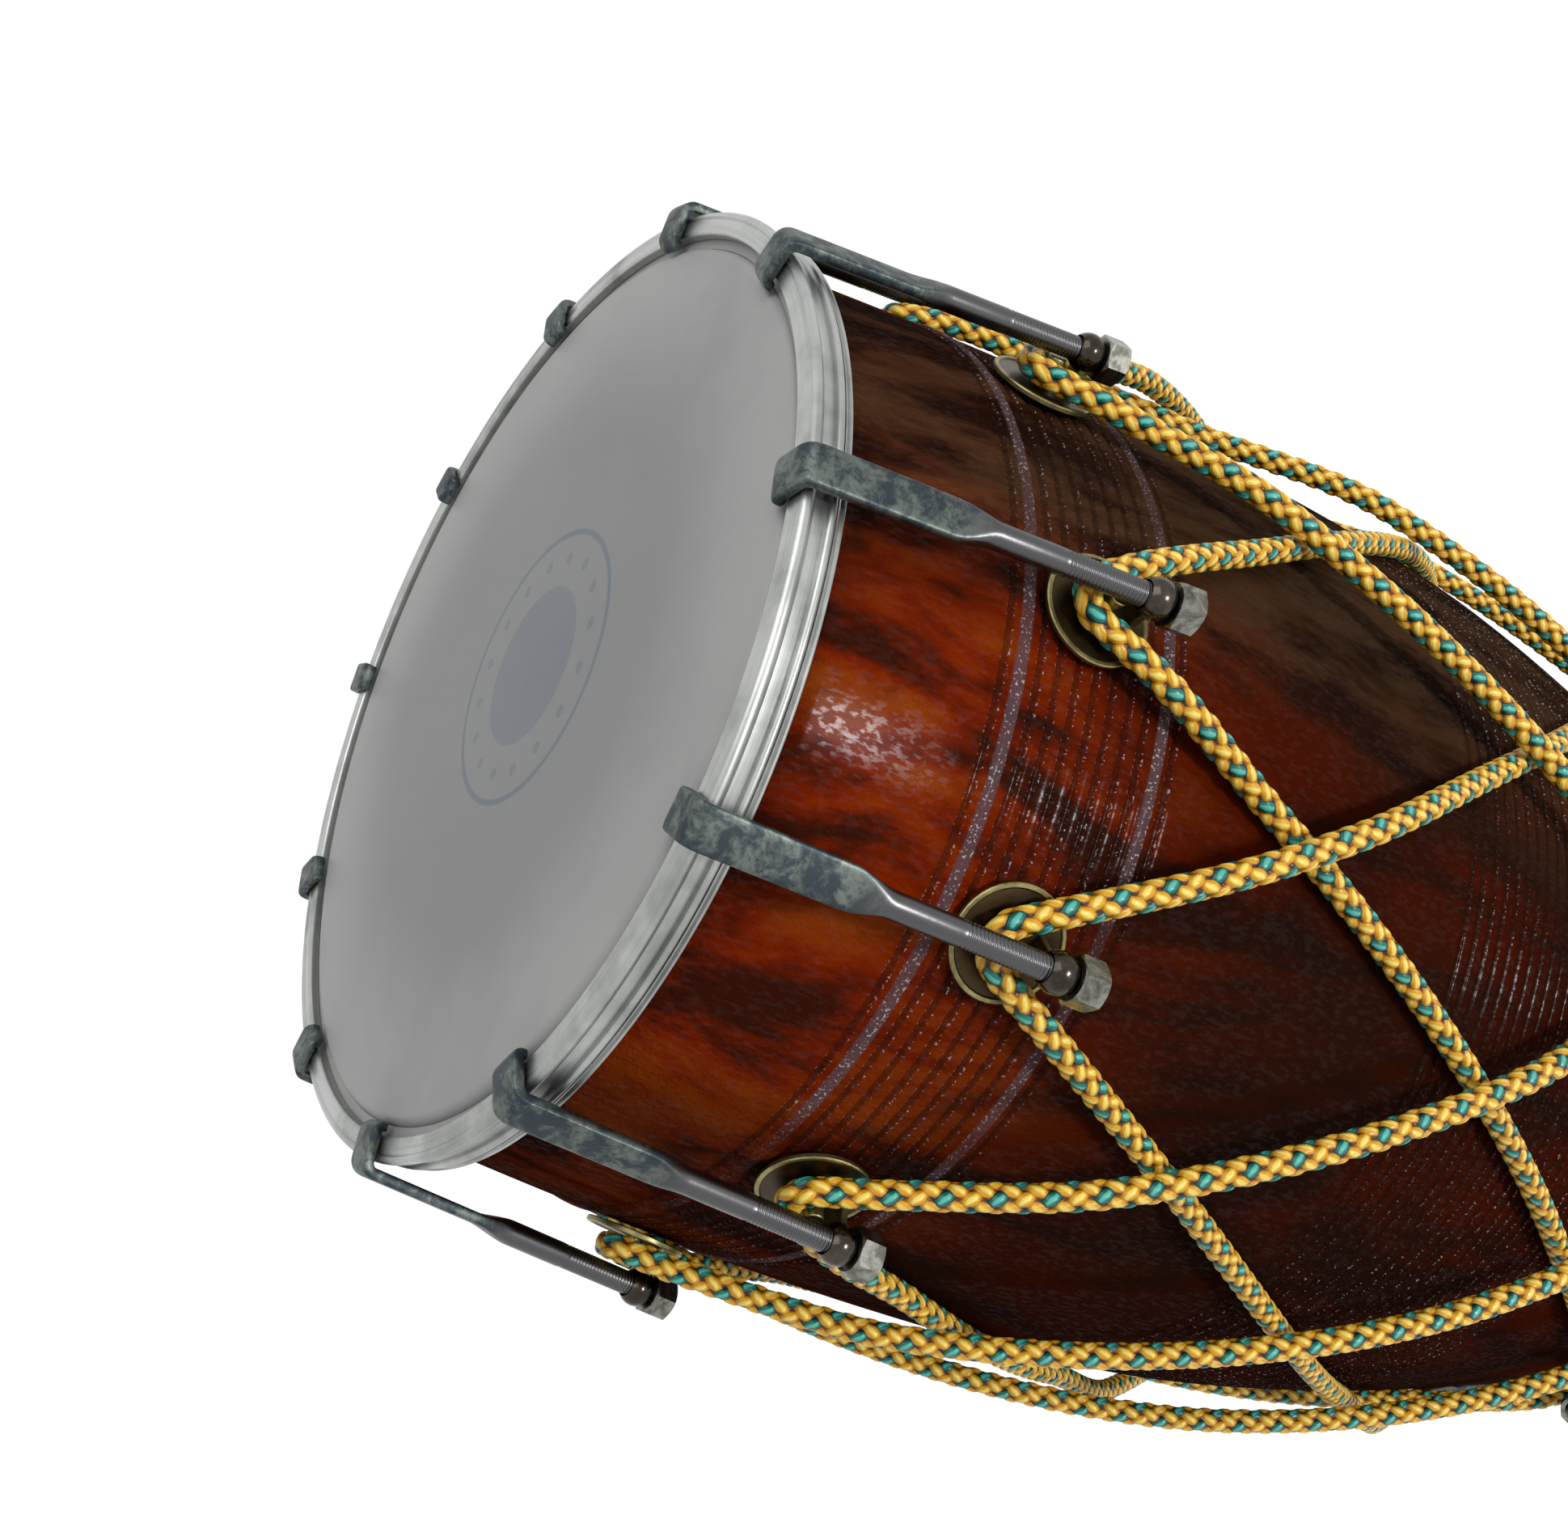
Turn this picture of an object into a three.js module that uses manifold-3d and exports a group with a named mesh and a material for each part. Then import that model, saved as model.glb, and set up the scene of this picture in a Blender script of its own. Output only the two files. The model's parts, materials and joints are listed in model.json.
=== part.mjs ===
// Barrel drum of the dhol kind: a bulging wooden shell with a plastic head on each end.
// Each head is pulled down by a counterhoop. Eleven hook rods hold the hoop, and each rod
// runs through the ball eye of a steel saddle and ends in a nut. One rope is laced round
// the saddles of both ends, and the nuts tune the heads against it.
// Millimetres. +Z runs along the drum's axis, from the bass head up to the treble head.
// The origin lies on the axis, in the plane that the bass hooks stand on.

import * as THREE from 'three';
import { mergeVertices } from 'three/addons/utils/BufferGeometryUtils.js';
import Module from 'manifold-3d';

const wasm = await Module();
wasm.setup();

// Overall sizes
const hoopRadius = 165;
const lipToLip = 680;
const hookCount = 11;
const firstHookAngle = THREE.MathUtils.degToRad(60.2);
const bassAngle = THREE.MathUtils.degToRad(-5.5);

// Clearances
const seatGap = 0.3;
const boreGap = 0.35;
const overrun = 2;
const fuseDepth = 0.4;

// Shell
const bulge = 36;
const neckStep = 4.5;
const shoulderHeight = 3.4;
const shellWall = 9;
const barrelPower = 1.7;
const edgeRound = 3;
const bandDepth = 105;
const bandWidth = 56;
const bandRidges = 3;
const bandCut = 1.3;
const bandRidgeShare = 0.7;
const barrelSteps = 2;
const boreSteps = 2;
const bandGapSteps = 1;

// Head
const filmDrop = 1.5;
const filmThick = 0.8;
const filmRound = 3.4;
const skirtThick = 0.9;
const fleshWidth = 6.6;
const fleshHeight = 5.6;
const fleshClear = 1.6;

// Counterhoop
const lipReach = 8.2;
const lipThick = 3.6;
const hoopWall = 4.2;
const hoopHeight = 13.6;
const beadHeight = 3.4;
const beadStep = 1.7;
const ribHeight = 4.6;
const lipStep = 0.6;

// Hook rod
const rodRadius = 3.9;
const rodChamfer = 0.8;
const rodTail = 2.2;
const ballDepth = 104;
const hookStand = 2.5;
const hookStandDepth = 6;
const bladeWidth = 12.2;
const bladeThick = 3.6;
const bladeCorner = 0.8;
const roundLength = 53;
const spreadLength = 13;
const hookBend = 3.6;
const tipBend = 2.2;
const tipWidth = 10.4;
const tipThick = 2.8;
const tipReach = 0.9;
const tipToLip = 1.2;

// Saddle with its ball eye
const ballRadius = 6.2;
const bossRadius = 3;
const bossAhead = 8.5;
const plateRadius = 17.5;
const plateThick = 1.8;
const plateClear = 1.1;
const lugThick = 2.4;
const lugFootWidth = 12;
const lugHeadWidth = 9;

// Nut
const nutFlats = 13;
const nutThick = 8.4;

// Lacing rope
const ropeRadius = 4.5;
const ropeSelfGap = 0.45;
const ropeLegLength = 17;
const crossingFlat = 11;
const ringSpacing = 70;
const downReach = 2;
const upReach = 3;
const firstLaced = 9;
const knotLength = 34;
const knotRadius = 8.6;
const knotAt = 38;
const knotTail = 30;
const knotTailAngle = THREE.MathUtils.degToRad(20);

// Facets: the bass end, which repeats the treble end's hardware, has fewer
const hoopFacets = 40;
const headFacets = 30;
const shellFacets = 28;
const boreFacets = 8;
const nearFacets = { bend: 2, tip: 1, boss: 6, ball: 8, rings: 4, plate: 10 };
const farFacets = { bend: 1, tip: 1, boss: 6, ball: 8, rings: 4, plate: 8 };
const ropeSides = 5;
const loopSteps = 3;
const routeDetail = 6;
const seatingSteps = 20;

// Places that follow from the sizes above
const hookRise = bladeThick + seatGap;
const fullHeight = lipToLip + 2 * hookRise;
const middle = fullHeight / 2;
const barrelHalf = lipToLip / 2 - hoopHeight - shoulderHeight;
const hookStep = (2 * Math.PI) / hookCount;
const lipInside = hoopRadius - lipReach;
const skirtInside = hoopRadius - hoopWall - fleshClear - fleshWidth;
const collarRadius = skirtInside * Math.cos(Math.PI / headFacets) - seatGap;
const neckRadius = collarRadius + neckStep;
const bellyRadius = neckRadius + bulge;
const boreRadius = (rodRadius + boreGap) / Math.cos(Math.PI / boreFacets);
const nutFace = Math.sqrt(ballRadius ** 2 - boreRadius ** 2) + seatGap;
const rodEnd = nutFace + nutThick + rodTail;
const bossTop = rodRadius + boreGap;
const ropeLevel = bossTop + seatGap + ropeRadius;
const plateTop = ropeLevel + ropeRadius + seatGap;
const loopRadius = bossRadius + seatGap + ropeRadius;
const ropeLift = ropeRadius + seatGap;
const roundReach = downReach + upReach;
const hookOut = hoopRadius + hookStand + bladeThick / 2;
const ballOut = seatedBall();
const rodTilt = tiltFor(ballOut);

// Materials, coloured after the photograph
function finish(color, roughness, metalness) {
  return new THREE.MeshStandardMaterial({ color, roughness, metalness });
}
const lacqueredWood = () => finish(0x5a1c0c, 0.25, 0);
const plasticFilm = () => finish(0x98999a, 0.35, 0);
const aluminium = () => finish(0xc9cacb, 0.3, 1);
const dullZinc = () => finish(0x6f7a7c, 0.45, 1);
const yellowZinc = () => finish(0xa89a55, 0.35, 1);
const nutZinc = () => finish(0x9a9a90, 0.35, 1);
const goldRope = () => finish(0xc9962a, 0.8, 0);

// Solids and meshes
function bare(geometry) {
  const copy = geometry.clone();
  copy.deleteAttribute('normal');
  copy.deleteAttribute('uv');
  return mergeVertices(copy);
}

function toSolid(geometry) {
  const merged = bare(geometry);
  const vertProperties = new Float32Array(merged.attributes.position.array);
  const triVerts = new Uint32Array(merged.index.array);
  return new wasm.Manifold(new wasm.Mesh({ numProp: 3, vertProperties, triVerts }));
}

function toGeometry(solid) {
  const mesh = solid.getMesh();
  const geometry = new THREE.BufferGeometry();
  geometry.setAttribute('position', new THREE.BufferAttribute(mesh.vertProperties, 3));
  geometry.setIndex(new THREE.BufferAttribute(mesh.triVerts, 1));
  return geometry;
}

function named(name, geometry, material) {
  const mesh = new THREE.Mesh(geometry, material);
  mesh.name = name;
  return mesh;
}

// A closed outline of [radius, height] points, turned about +Z, with a facet edge on +X
function revolve(outline, facets) {
  const points = outline.map(([radius, height]) => new THREE.Vector2(radius, height));
  const geometry = new THREE.LatheGeometry(points, facets);
  geometry.rotateX(Math.PI / 2);
  geometry.rotateZ(Math.PI / 2);
  return bare(geometry);
}

// A tube or loft through rings with the same number of points, closed on itself or capped
function skinRings(rings, closed) {
  const count = rings[0].length;
  const positions = rings.flat().flatMap((point) => point.toArray());
  const faces = [];
  const last = closed ? rings.length : rings.length - 1;
  for (let i = 0; i < last; i += 1) {
    const here = i * count;
    const next = ((i + 1) % rings.length) * count;
    for (let j = 0; j < count; j += 1) {
      const k = (j + 1) % count;
      faces.push(here + j, here + k, next + k);
      faces.push(here + j, next + k, next + j);
    }
  }
  if (!closed) {
    const end = (rings.length - 1) * count;
    for (let j = 1; j < count - 1; j += 1) {
      faces.push(0, j + 1, j);
      faces.push(end, end + j, end + j + 1);
    }
  }
  const geometry = new THREE.BufferGeometry();
  geometry.setAttribute('position', new THREE.Float32BufferAttribute(positions, 3));
  geometry.setIndex(faces);
  return geometry;
}

// The rod leans so that it clears the hoop at its top and holds the ball at its foot
function tiltFor(out) {
  return Math.atan2(out - hookOut, ballDepth - hookStandDepth);
}

// How far out the ball stands: as near as the plate beneath it clears the barrel
function seatedBall() {
  const deep = plateTop + plateThick;
  const ends = [bossAhead - plateRadius, bossAhead + plateRadius];
  let out = barrelRadius(lipToLip / 2 - ballDepth) + deep;
  for (let i = 0; i < seatingSteps; i += 1) {
    const tilt = tiltFor(out);
    const needs = ends.map((along) => {
      const height = lipToLip / 2 - ballDepth - deep * Math.sin(tilt) + along * Math.cos(tilt);
      return barrelRadius(height) + plateClear + deep * Math.cos(tilt) + along * Math.sin(tilt);
    });
    out = Math.max(...needs);
  }
  return out;
}

// Shell: outside radius at a height above or below the belly
function barrelRadius(height) {
  const share = Math.min(Math.abs(height) / barrelHalf, 1);
  return bellyRadius - (bellyRadius - neckRadius) * share ** barrelPower;
}

// One turned band: raised rings of the full radius with cuts between them
function bandOutline(centre) {
  const points = [];
  const pitch = bandWidth / bandRidges;
  for (let i = 0; i <= bandRidges; i += 1) {
    const cut = centre - bandWidth / 2 + i * pitch;
    const lip = (pitch * (1 - bandRidgeShare)) / 2;
    points.push([barrelRadius(cut - lip), cut - lip]);
    points.push([barrelRadius(cut) - bandCut, cut]);
    points.push([barrelRadius(cut + lip), cut + lip]);
  }
  return points;
}

function plainBarrel(from, to, steps) {
  const points = [];
  for (let i = 1; i < steps; i += 1) {
    const height = from + ((to - from) * i) / steps;
    points.push([barrelRadius(height), height]);
  }
  return points;
}

// The rounded edge that the film bears on, from the collar outside to the bore inside
function bearingEdge() {
  const top = lipToLip / 2 - filmDrop - filmThick - seatGap;
  const edgeShares = [[0, 1], [0.45, 0.35], [0.95, 0], [2.1, 0.9]];
  const points = edgeShares.map(([inward, down]) => [
    collarRadius - inward * edgeRound,
    top - down * edgeRound,
  ]);
  points.push([collarRadius - shellWall, top - shellWall]);
  return points;
}

function shellOutline() {
  const bandHeight = lipToLip / 2 - bandDepth;
  const halfBand = bandWidth / 2;
  const rampHeight = lipToLip / 2 - hoopHeight - seatGap;
  const upper = [
    ...bandOutline(0).filter(([, height]) => height > 0),
    ...plainBarrel(halfBand, bandHeight - halfBand, bandGapSteps + 1),
    ...bandOutline(bandHeight),
    ...plainBarrel(bandHeight + halfBand, barrelHalf, barrelSteps),
    [neckRadius, barrelHalf],
    [collarRadius, rampHeight],
    ...bearingEdge(),
  ];
  const inner = [];
  for (let i = boreSteps; i > 0; i -= 1) {
    const height = ((barrelHalf - shellWall) * i) / boreSteps;
    inner.push([barrelRadius(height) - bandCut - shellWall, height]);
  }
  const half = [...upper, ...inner];
  const lower = half.map(([radius, height]) => [radius, -height]).reverse();
  const waist = [bellyRadius - bandCut - shellWall, 0];
  const outline = [...lower.slice(inner.length), ...half, waist, ...lower.slice(0, inner.length)];
  return [...outline, outline[0]];
}

function makeShell() {
  const mesh = named('shell', revolve(shellOutline(), shellFacets), lacqueredWood());
  mesh.position.z = middle;
  return mesh;
}

// Head: film, skirt and flesh hoop in one, with its lip plane at height 0
function headOutline(fleshTop) {
  const skirtOutside = skirtInside + skirtThick;
  const filmEdge = skirtOutside - filmRound;
  const roundShares = [0.38, 0.71, 0.92];
  const fleshBottom = fleshTop - fleshHeight;
  const under = -filmDrop - filmThick;
  return [
    [0, under],
    [filmEdge, under],
    [skirtInside, -filmDrop - filmRound],
    [skirtInside, fleshBottom],
    [skirtInside + fleshWidth, fleshBottom],
    [skirtInside + fleshWidth, fleshTop],
    [skirtOutside, fleshTop],
    ...roundShares.map((share) => [
      skirtOutside - filmRound * (1 - Math.sqrt(1 - (1 - share) ** 2)),
      -filmDrop - filmRound * (1 - share),
    ]),
    [filmEdge, -filmDrop],
    [0, -filmDrop],
  ];
}

// Counterhoop: inward lip, outer bead, plain band and a ribbed lower edge
function hoopOutline() {
  const wallInside = hoopRadius - hoopWall;
  const flat = hoopRadius - beadStep;
  const ribTop = -hoopHeight + ribHeight;
  const ribNotch = (ribTop - hoopHeight) / 2;
  return [
    [wallInside, -hoopHeight],
    [hoopRadius - lipStep, -hoopHeight],
    [hoopRadius, ribNotch - lipStep],
    [hoopRadius - lipStep, ribNotch],
    [hoopRadius - lipStep / 2, ribTop],
    [flat, ribTop + lipStep],
    [flat, -beadHeight - lipStep],
    [hoopRadius, -beadHeight],
    [hoopRadius, -beadStep],
    [hoopRadius - beadStep, 0],
    [lipInside + lipStep * 2, 0],
    [lipInside, -lipStep],
    [lipInside, -lipThick],
    [wallInside, -lipThick],
    [wallInside, -hoopHeight],
  ];
}

// Hook rod, drawn in the drum's radial plane: x is the radius and z the height above the lip
function filletPath(corners, radii, steps) {
  const stations = [];
  const heading = (from, to) => to.clone().sub(from).normalize();
  stations.push({ at: corners[0], along: heading(corners[0], corners[1]) });
  for (let i = 1; i < corners.length - 1; i += 1) {
    const inward = heading(corners[i - 1], corners[i]);
    const outward = heading(corners[i], corners[i + 1]);
    const turn = Math.atan2(inward.cross(outward), inward.dot(outward));
    const setback = radii[i - 1] * Math.tan(Math.abs(turn) / 2);
    const start = corners[i].clone().addScaledVector(inward, -setback);
    const side = new THREE.Vector2(-inward.y, inward.x).multiplyScalar(Math.sign(turn));
    const centre = start.clone().addScaledVector(side, radii[i - 1]);
    for (let j = 0; j <= steps[i - 1]; j += 1) {
      const angle = (turn * j) / steps[i - 1];
      const at = start.clone().rotateAround(centre, angle);
      const along = inward.clone().rotateAround(new THREE.Vector2(), angle);
      stations.push({ at, along });
    }
  }
  const end = corners[corners.length - 1];
  stations.push({ at: end, along: heading(corners[corners.length - 2], end) });
  return stations;
}

// Eight-sided section, round where width and thickness are alike, else a flat bar
function barSection(at, along, width, thick, corner) {
  const across = new THREE.Vector2(-along.y, along.x);
  const wide = width / 2;
  const deep = thick / 2;
  const outline = [
    [wide, deep - corner], [wide - corner, deep], [corner - wide, deep], [-wide, deep - corner],
    [-wide, corner - deep], [corner - wide, -deep], [wide - corner, -deep], [wide, corner - deep],
  ];
  return outline.map(([y, out]) => {
    const spot = at.clone().addScaledVector(across, out);
    return new THREE.Vector3(spot.x, y, spot.y);
  });
}

function roundSection(at, along, radius) {
  const across = radius * Math.cos(Math.PI / 8) * 2;
  const corner = across / (2 + Math.SQRT2);
  return barSection(at, along, across, across, corner);
}

function hookGeometry(facets) {
  const ball = new THREE.Vector2(ballOut, -ballDepth);
  const up = new THREE.Vector2(-Math.sin(rodTilt), Math.cos(rodTilt));
  const onAxis = (length) => ball.clone().addScaledVector(up, length);
  const topHeight = seatGap + bladeThick / 2;
  const topLength = (topHeight + ballDepth) / Math.cos(rodTilt);
  const tipOut = lipInside - tipToLip - tipThick / 2;
  const corners = [
    onAxis(roundLength + spreadLength),
    onAxis(topLength),
    new THREE.Vector2(tipOut, topHeight),
    new THREE.Vector2(tipOut, -tipReach),
  ];
  const blade = filletPath(corners, [hookBend, tipBend], [facets.bend, facets.tip]);
  const lastIndex = blade.length - 1;
  const tipStart = lastIndex - facets.tip;
  const bladeRings = blade.map(({ at, along }, i) => {
    const share = Math.max(0, (i - tipStart) / (lastIndex - tipStart));
    const width = THREE.MathUtils.lerp(bladeWidth, tipWidth, share);
    const thick = THREE.MathUtils.lerp(bladeThick, tipThick, share);
    return barSection(at, along, width, thick, bladeCorner);
  });
  const rings = [
    roundSection(onAxis(-rodEnd), up, rodRadius - rodChamfer),
    roundSection(onAxis(rodChamfer - rodEnd), up, rodRadius),
    roundSection(onAxis(roundLength), up, rodRadius),
    ...bladeRings,
  ];
  return skinRings(rings, false);
}

// Pieces on the rod: z runs along the rod to its hook, x away from the drum, origin in the ball
function boreCutter(length) {
  const cutter = new THREE.CylinderGeometry(boreRadius, boreRadius, length, boreFacets);
  cutter.rotateX(Math.PI / 2);
  return cutter;
}

function nutGeometry() {
  const corner = nutFlats / 2 / Math.cos(Math.PI / 6);
  const hexagon = new THREE.CylinderGeometry(corner, corner, nutThick, 6);
  hexagon.rotateX(Math.PI / 2);
  const bore = toSolid(boreCutter(nutThick + overrun));
  const geometry = toGeometry(toSolid(hexagon).subtract(bore));
  geometry.translate(0, 0, -nutFace - nutThick / 2);
  return geometry;
}

function lugSolid() {
  const shape = new THREE.Shape();
  const foot = lugFootWidth / 2;
  const head = lugHeadWidth / 2;
  shape.moveTo(-plateTop - plateThick / 2, -foot);
  shape.lineTo(0, -head);
  shape.lineTo(0, head);
  shape.lineTo(-plateTop - plateThick / 2, foot);
  shape.closePath();
  const lug = new THREE.ExtrudeGeometry(shape, { depth: lugThick, bevelEnabled: false });
  lug.translate(0, 0, -lugThick / 2);
  return toSolid(lug);
}

function saddleSolid(bossWidth, facets) {
  const plate = new THREE.CylinderGeometry(plateRadius, plateRadius, plateThick, facets.plate);
  plate.rotateZ(Math.PI / 2);
  plate.translate(-plateTop - plateThick / 2, 0, bossAhead);
  const bossHeight = plateTop - bossTop + plateThick / 2;
  const boss = new THREE.CylinderGeometry(bossWidth, bossWidth, bossHeight, facets.boss);
  boss.rotateZ(Math.PI / 2);
  boss.translate(-bossTop - bossHeight / 2, 0, bossAhead);
  const ball = new THREE.SphereGeometry(ballRadius, facets.ball, facets.rings);
  ball.rotateX(Math.PI / 2);
  const bore = toSolid(boreCutter(2 * ballRadius + overrun));
  return toSolid(plate).add(toSolid(boss)).add(lugSolid()).add(toSolid(ball)).subtract(bore);
}

// Angles and places round the drum. Hook 0 comes first in the lacing, and the angle falls
// with the index. side is 1 at the treble end and -1 at the bass end.
function hookAngle(side, index) {
  return firstHookAngle - index * hookStep + (side < 0 ? bassAngle : 0);
}

// A point given by its offsets from a ball: away from the drum, round it and along the rod
function fromBall(side, index, out, round, along) {
  const angle = hookAngle(side, index);
  const radial = new THREE.Vector3(Math.cos(angle), Math.sin(angle), 0);
  const tangent = new THREE.Vector3(-Math.sin(angle), Math.cos(angle), 0);
  const height = side * (lipToLip / 2 - ballDepth);
  const radius = ballOut + out * Math.cos(rodTilt) - along * Math.sin(rodTilt);
  const rise = side * (out * Math.sin(rodTilt) + along * Math.cos(rodTilt));
  const point = radial.multiplyScalar(radius).addScaledVector(tangent, round);
  point.z = middle + height + rise;
  return point;
}

// Lacing: one rope. It runs down from treble saddle i to bass saddle i + 2, and up from bass
// saddle j to treble saddle j + 3.
function strandTurn(side, leaving) {
  const down = side > 0 === leaving;
  return down ? downReach * hookStep - bassAngle : upReach * hookStep + bassAngle;
}

function strandSlant(side, leaving) {
  const run = lipToLip - 2 * (ballDepth - bossAhead);
  return Math.atan2(ballOut * strandTurn(side, leaving), run);
}

// Point on the loop round a boss, at an angle from the rod, positive towards rising angles
function loopPoint(side, index, angle) {
  const round = loopRadius * Math.sin(angle);
  const along = bossAhead + loopRadius * Math.cos(angle);
  return fromBall(side, index, -ropeLevel, round, along);
}

// Where a strand leaves the plate: straight on from the loop's last point
function legPoint(side, index, leaving) {
  const angle = Math.PI / 2 - strandSlant(side, leaving);
  const sign = leaving ? -1 : 1;
  const round = loopRadius * Math.sin(angle) + ropeLegLength * Math.cos(angle);
  const along = bossAhead + loopRadius * Math.cos(angle) - ropeLegLength * Math.sin(angle);
  return fromBall(side, index, -ropeLevel, sign * round, along);
}

const wrap = (index) => ((index % hookCount) + hookCount) % hookCount;

// The treble saddles in the order that they were laced in: a later strand lies on top
const laceOrder = new Map();
for (let visit = 0; visit < hookCount; visit += 1) {
  laceOrder.set(wrap(firstLaced - visit * roundReach), visit);
}

// The run of a strand over the shell, given by its treble index and its way, 1 or -1
function strandRun(index, way) {
  const reach = way > 0 ? downReach : -upReach;
  const trebleEnd = legPoint(1, index, way > 0);
  const bassEnd = legPoint(-1, index + reach, way < 0);
  const polar = (point) => ({
    angle: Math.atan2(point.y, point.x),
    radius: Math.hypot(point.x, point.y),
    z: point.z,
  });
  const top = polar(trebleEnd);
  const bottom = polar(bassEnd);
  const full = 2 * Math.PI;
  const swing = bottom.angle - top.angle + reach * hookStep;
  bottom.angle -= full * Math.round(swing / full);
  return { index, way, top, bottom };
}

function runAngle(run, z) {
  const share = (run.top.z - z) / (run.top.z - run.bottom.z);
  return run.top.angle + (run.bottom.angle - run.top.angle) * share;
}

function crossingHeight(run, other) {
  const full = 2 * Math.PI;
  const slope = (r) => (r.bottom.angle - r.top.angle) / (r.bottom.z - r.top.z);
  const offset = runAngle(other, middle) - runAngle(run, middle);
  const near = offset - full * Math.round(offset / full);
  return middle + near / (slope(run) - slope(other));
}

// How far a run rises over the shell, from the treble end down: on its two plates, and at each
// crossing, where the later strand lies on the earlier. flat is half the height it stays so.
function runLevels(run) {
  const onPlate = (end) => end.radius - barrelRadius(end.z - middle) - ropeLift;
  const flat = crossingFlat * Math.cos(strandSlant(1, run.way > 0));
  const levels = [
    { z: run.top.z, rise: onPlate(run.top), flat: 0 },
    { z: run.bottom.z, rise: onPlate(run.bottom), flat: 0 },
  ];
  for (let row = 1; row < roundReach; row += 1) {
    const otherIndex = wrap(run.index + run.way * row);
    const z = crossingHeight(run, strandRun(otherIndex, -run.way));
    const above = laceOrder.get(wrap(run.index)) > laceOrder.get(otherIndex);
    levels.push({ z, rise: above ? 2 * ropeRadius + ropeSelfGap : 0, flat });
  }
  return levels.sort((a, b) => b.z - a.z);
}

const smooth = (share) => THREE.MathUtils.smoothstep(share, 0, 1);

function strandPoint(run, levels, z) {
  const last = levels.length - 1;
  const below = levels.findIndex((level, i) => i > 0 && (level.z <= z || i === last));
  const from = levels[below - 1];
  const to = levels[below];
  const start = from.z - from.flat;
  const share = smooth((start - z) / (start - to.z - to.flat));
  const rise = THREE.MathUtils.lerp(from.rise, to.rise, share);
  const radius = barrelRadius(z - middle) + ropeLift + rise;
  const angle = runAngle(run, z);
  return new THREE.Vector3(radius * Math.cos(angle), radius * Math.sin(angle), z);
}

// Heights of the rings along a run: at the ends of each crossing, and evenly spaced between
function ringHeights(run, levels) {
  const spacing = ringSpacing * Math.cos(strandSlant(1, run.way > 0));
  const edges = levels.flatMap(({ z, flat }) => (flat > 0 ? [z + flat, z - flat] : [z]));
  const heights = [edges[0]];
  for (const z of edges.slice(1)) {
    const last = heights[heights.length - 1];
    const extra = Math.ceil((last - z) / spacing);
    for (let i = 1; i <= extra; i += 1) {
      heights.push(last + ((z - last) * i) / extra);
    }
  }
  return heights;
}

// The whole centre line, one point a ring. dense adds points for measuring.
function ropeRoute(dense) {
  const route = [];
  for (let visit = 0; visit < hookCount; visit += 1) {
    const treble = wrap(visit * roundReach);
    const bass = treble + downReach;
    const next = treble + roundReach;
    addLoop(route, 1, treble, dense);
    addRun(route, strandRun(treble, 1), 1, dense);
    addLoop(route, -1, bass, dense);
    addRun(route, strandRun(next, -1), -1, dense);
  }
  return route;
}

function addLoop(route, side, index, dense) {
  const steps = loopSteps * dense;
  const from = Math.PI / 2 - strandSlant(side, false);
  const to = strandSlant(side, true) - Math.PI / 2;
  for (let i = 0; i <= steps; i += 1) {
    route.push(loopPoint(side, index, from + ((to - from) * i) / steps));
  }
}

function addRun(route, run, way, dense) {
  const levels = runLevels(run);
  const heights = ringHeights(run, levels);
  const points = [];
  for (let i = 0; i < heights.length - 1; i += 1) {
    for (let j = 0; j < dense; j += 1) {
      const z = heights[i] + ((heights[i + 1] - heights[i]) * j) / dense;
      points.push(strandPoint(run, levels, z));
    }
  }
  points.push(strandPoint(run, levels, heights[heights.length - 1]));
  route.push(...(way > 0 ? points : points.reverse()));
}

// Rings of the tube, each with a flat side turned to the drum
function ropeRings(route) {
  return route.map((point, i) => {
    const before = route[(i - 1 + route.length) % route.length];
    const after = route[(i + 1) % route.length];
    const first = point.clone().sub(before).normalize();
    const second = after.clone().sub(point).normalize();
    const along = first.add(second).normalize();
    const outward = new THREE.Vector3(point.x, point.y, 0).normalize();
    outward.addScaledVector(along, -outward.dot(along)).normalize();
    const across = new THREE.Vector3().crossVectors(along, outward);
    const ring = [];
    for (let j = 0; j < ropeSides; j += 1) {
      const angle = (2 * Math.PI * j) / ropeSides;
      const corner = point.clone();
      corner.addScaledVector(outward, ropeRadius * Math.cos(angle));
      corner.addScaledVector(across, ropeRadius * Math.sin(angle));
      ring.push(corner);
    }
    return ring;
  });
}

// Least distance between stretches of the rope that are not neighbours, less its thickness
function leastSelfGap(route) {
  const lengths = [0];
  for (let i = 1; i < route.length; i += 1) {
    lengths.push(lengths[i - 1] + route[i].distanceTo(route[i - 1]));
  }
  const total = lengths[lengths.length - 1] + route[0].distanceTo(route[route.length - 1]);
  const apart = 4 * loopRadius;
  let least = Infinity;
  for (let i = 0; i < route.length; i += 1) {
    for (let j = i + 1; j < route.length; j += 1) {
      const along = lengths[j] - lengths[i];
      if (along > apart && total - along > apart) {
        least = Math.min(least, route[i].distanceTo(route[j]));
      }
    }
  }
  return { gap: least - 2 * ropeRadius, total };
}

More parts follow.
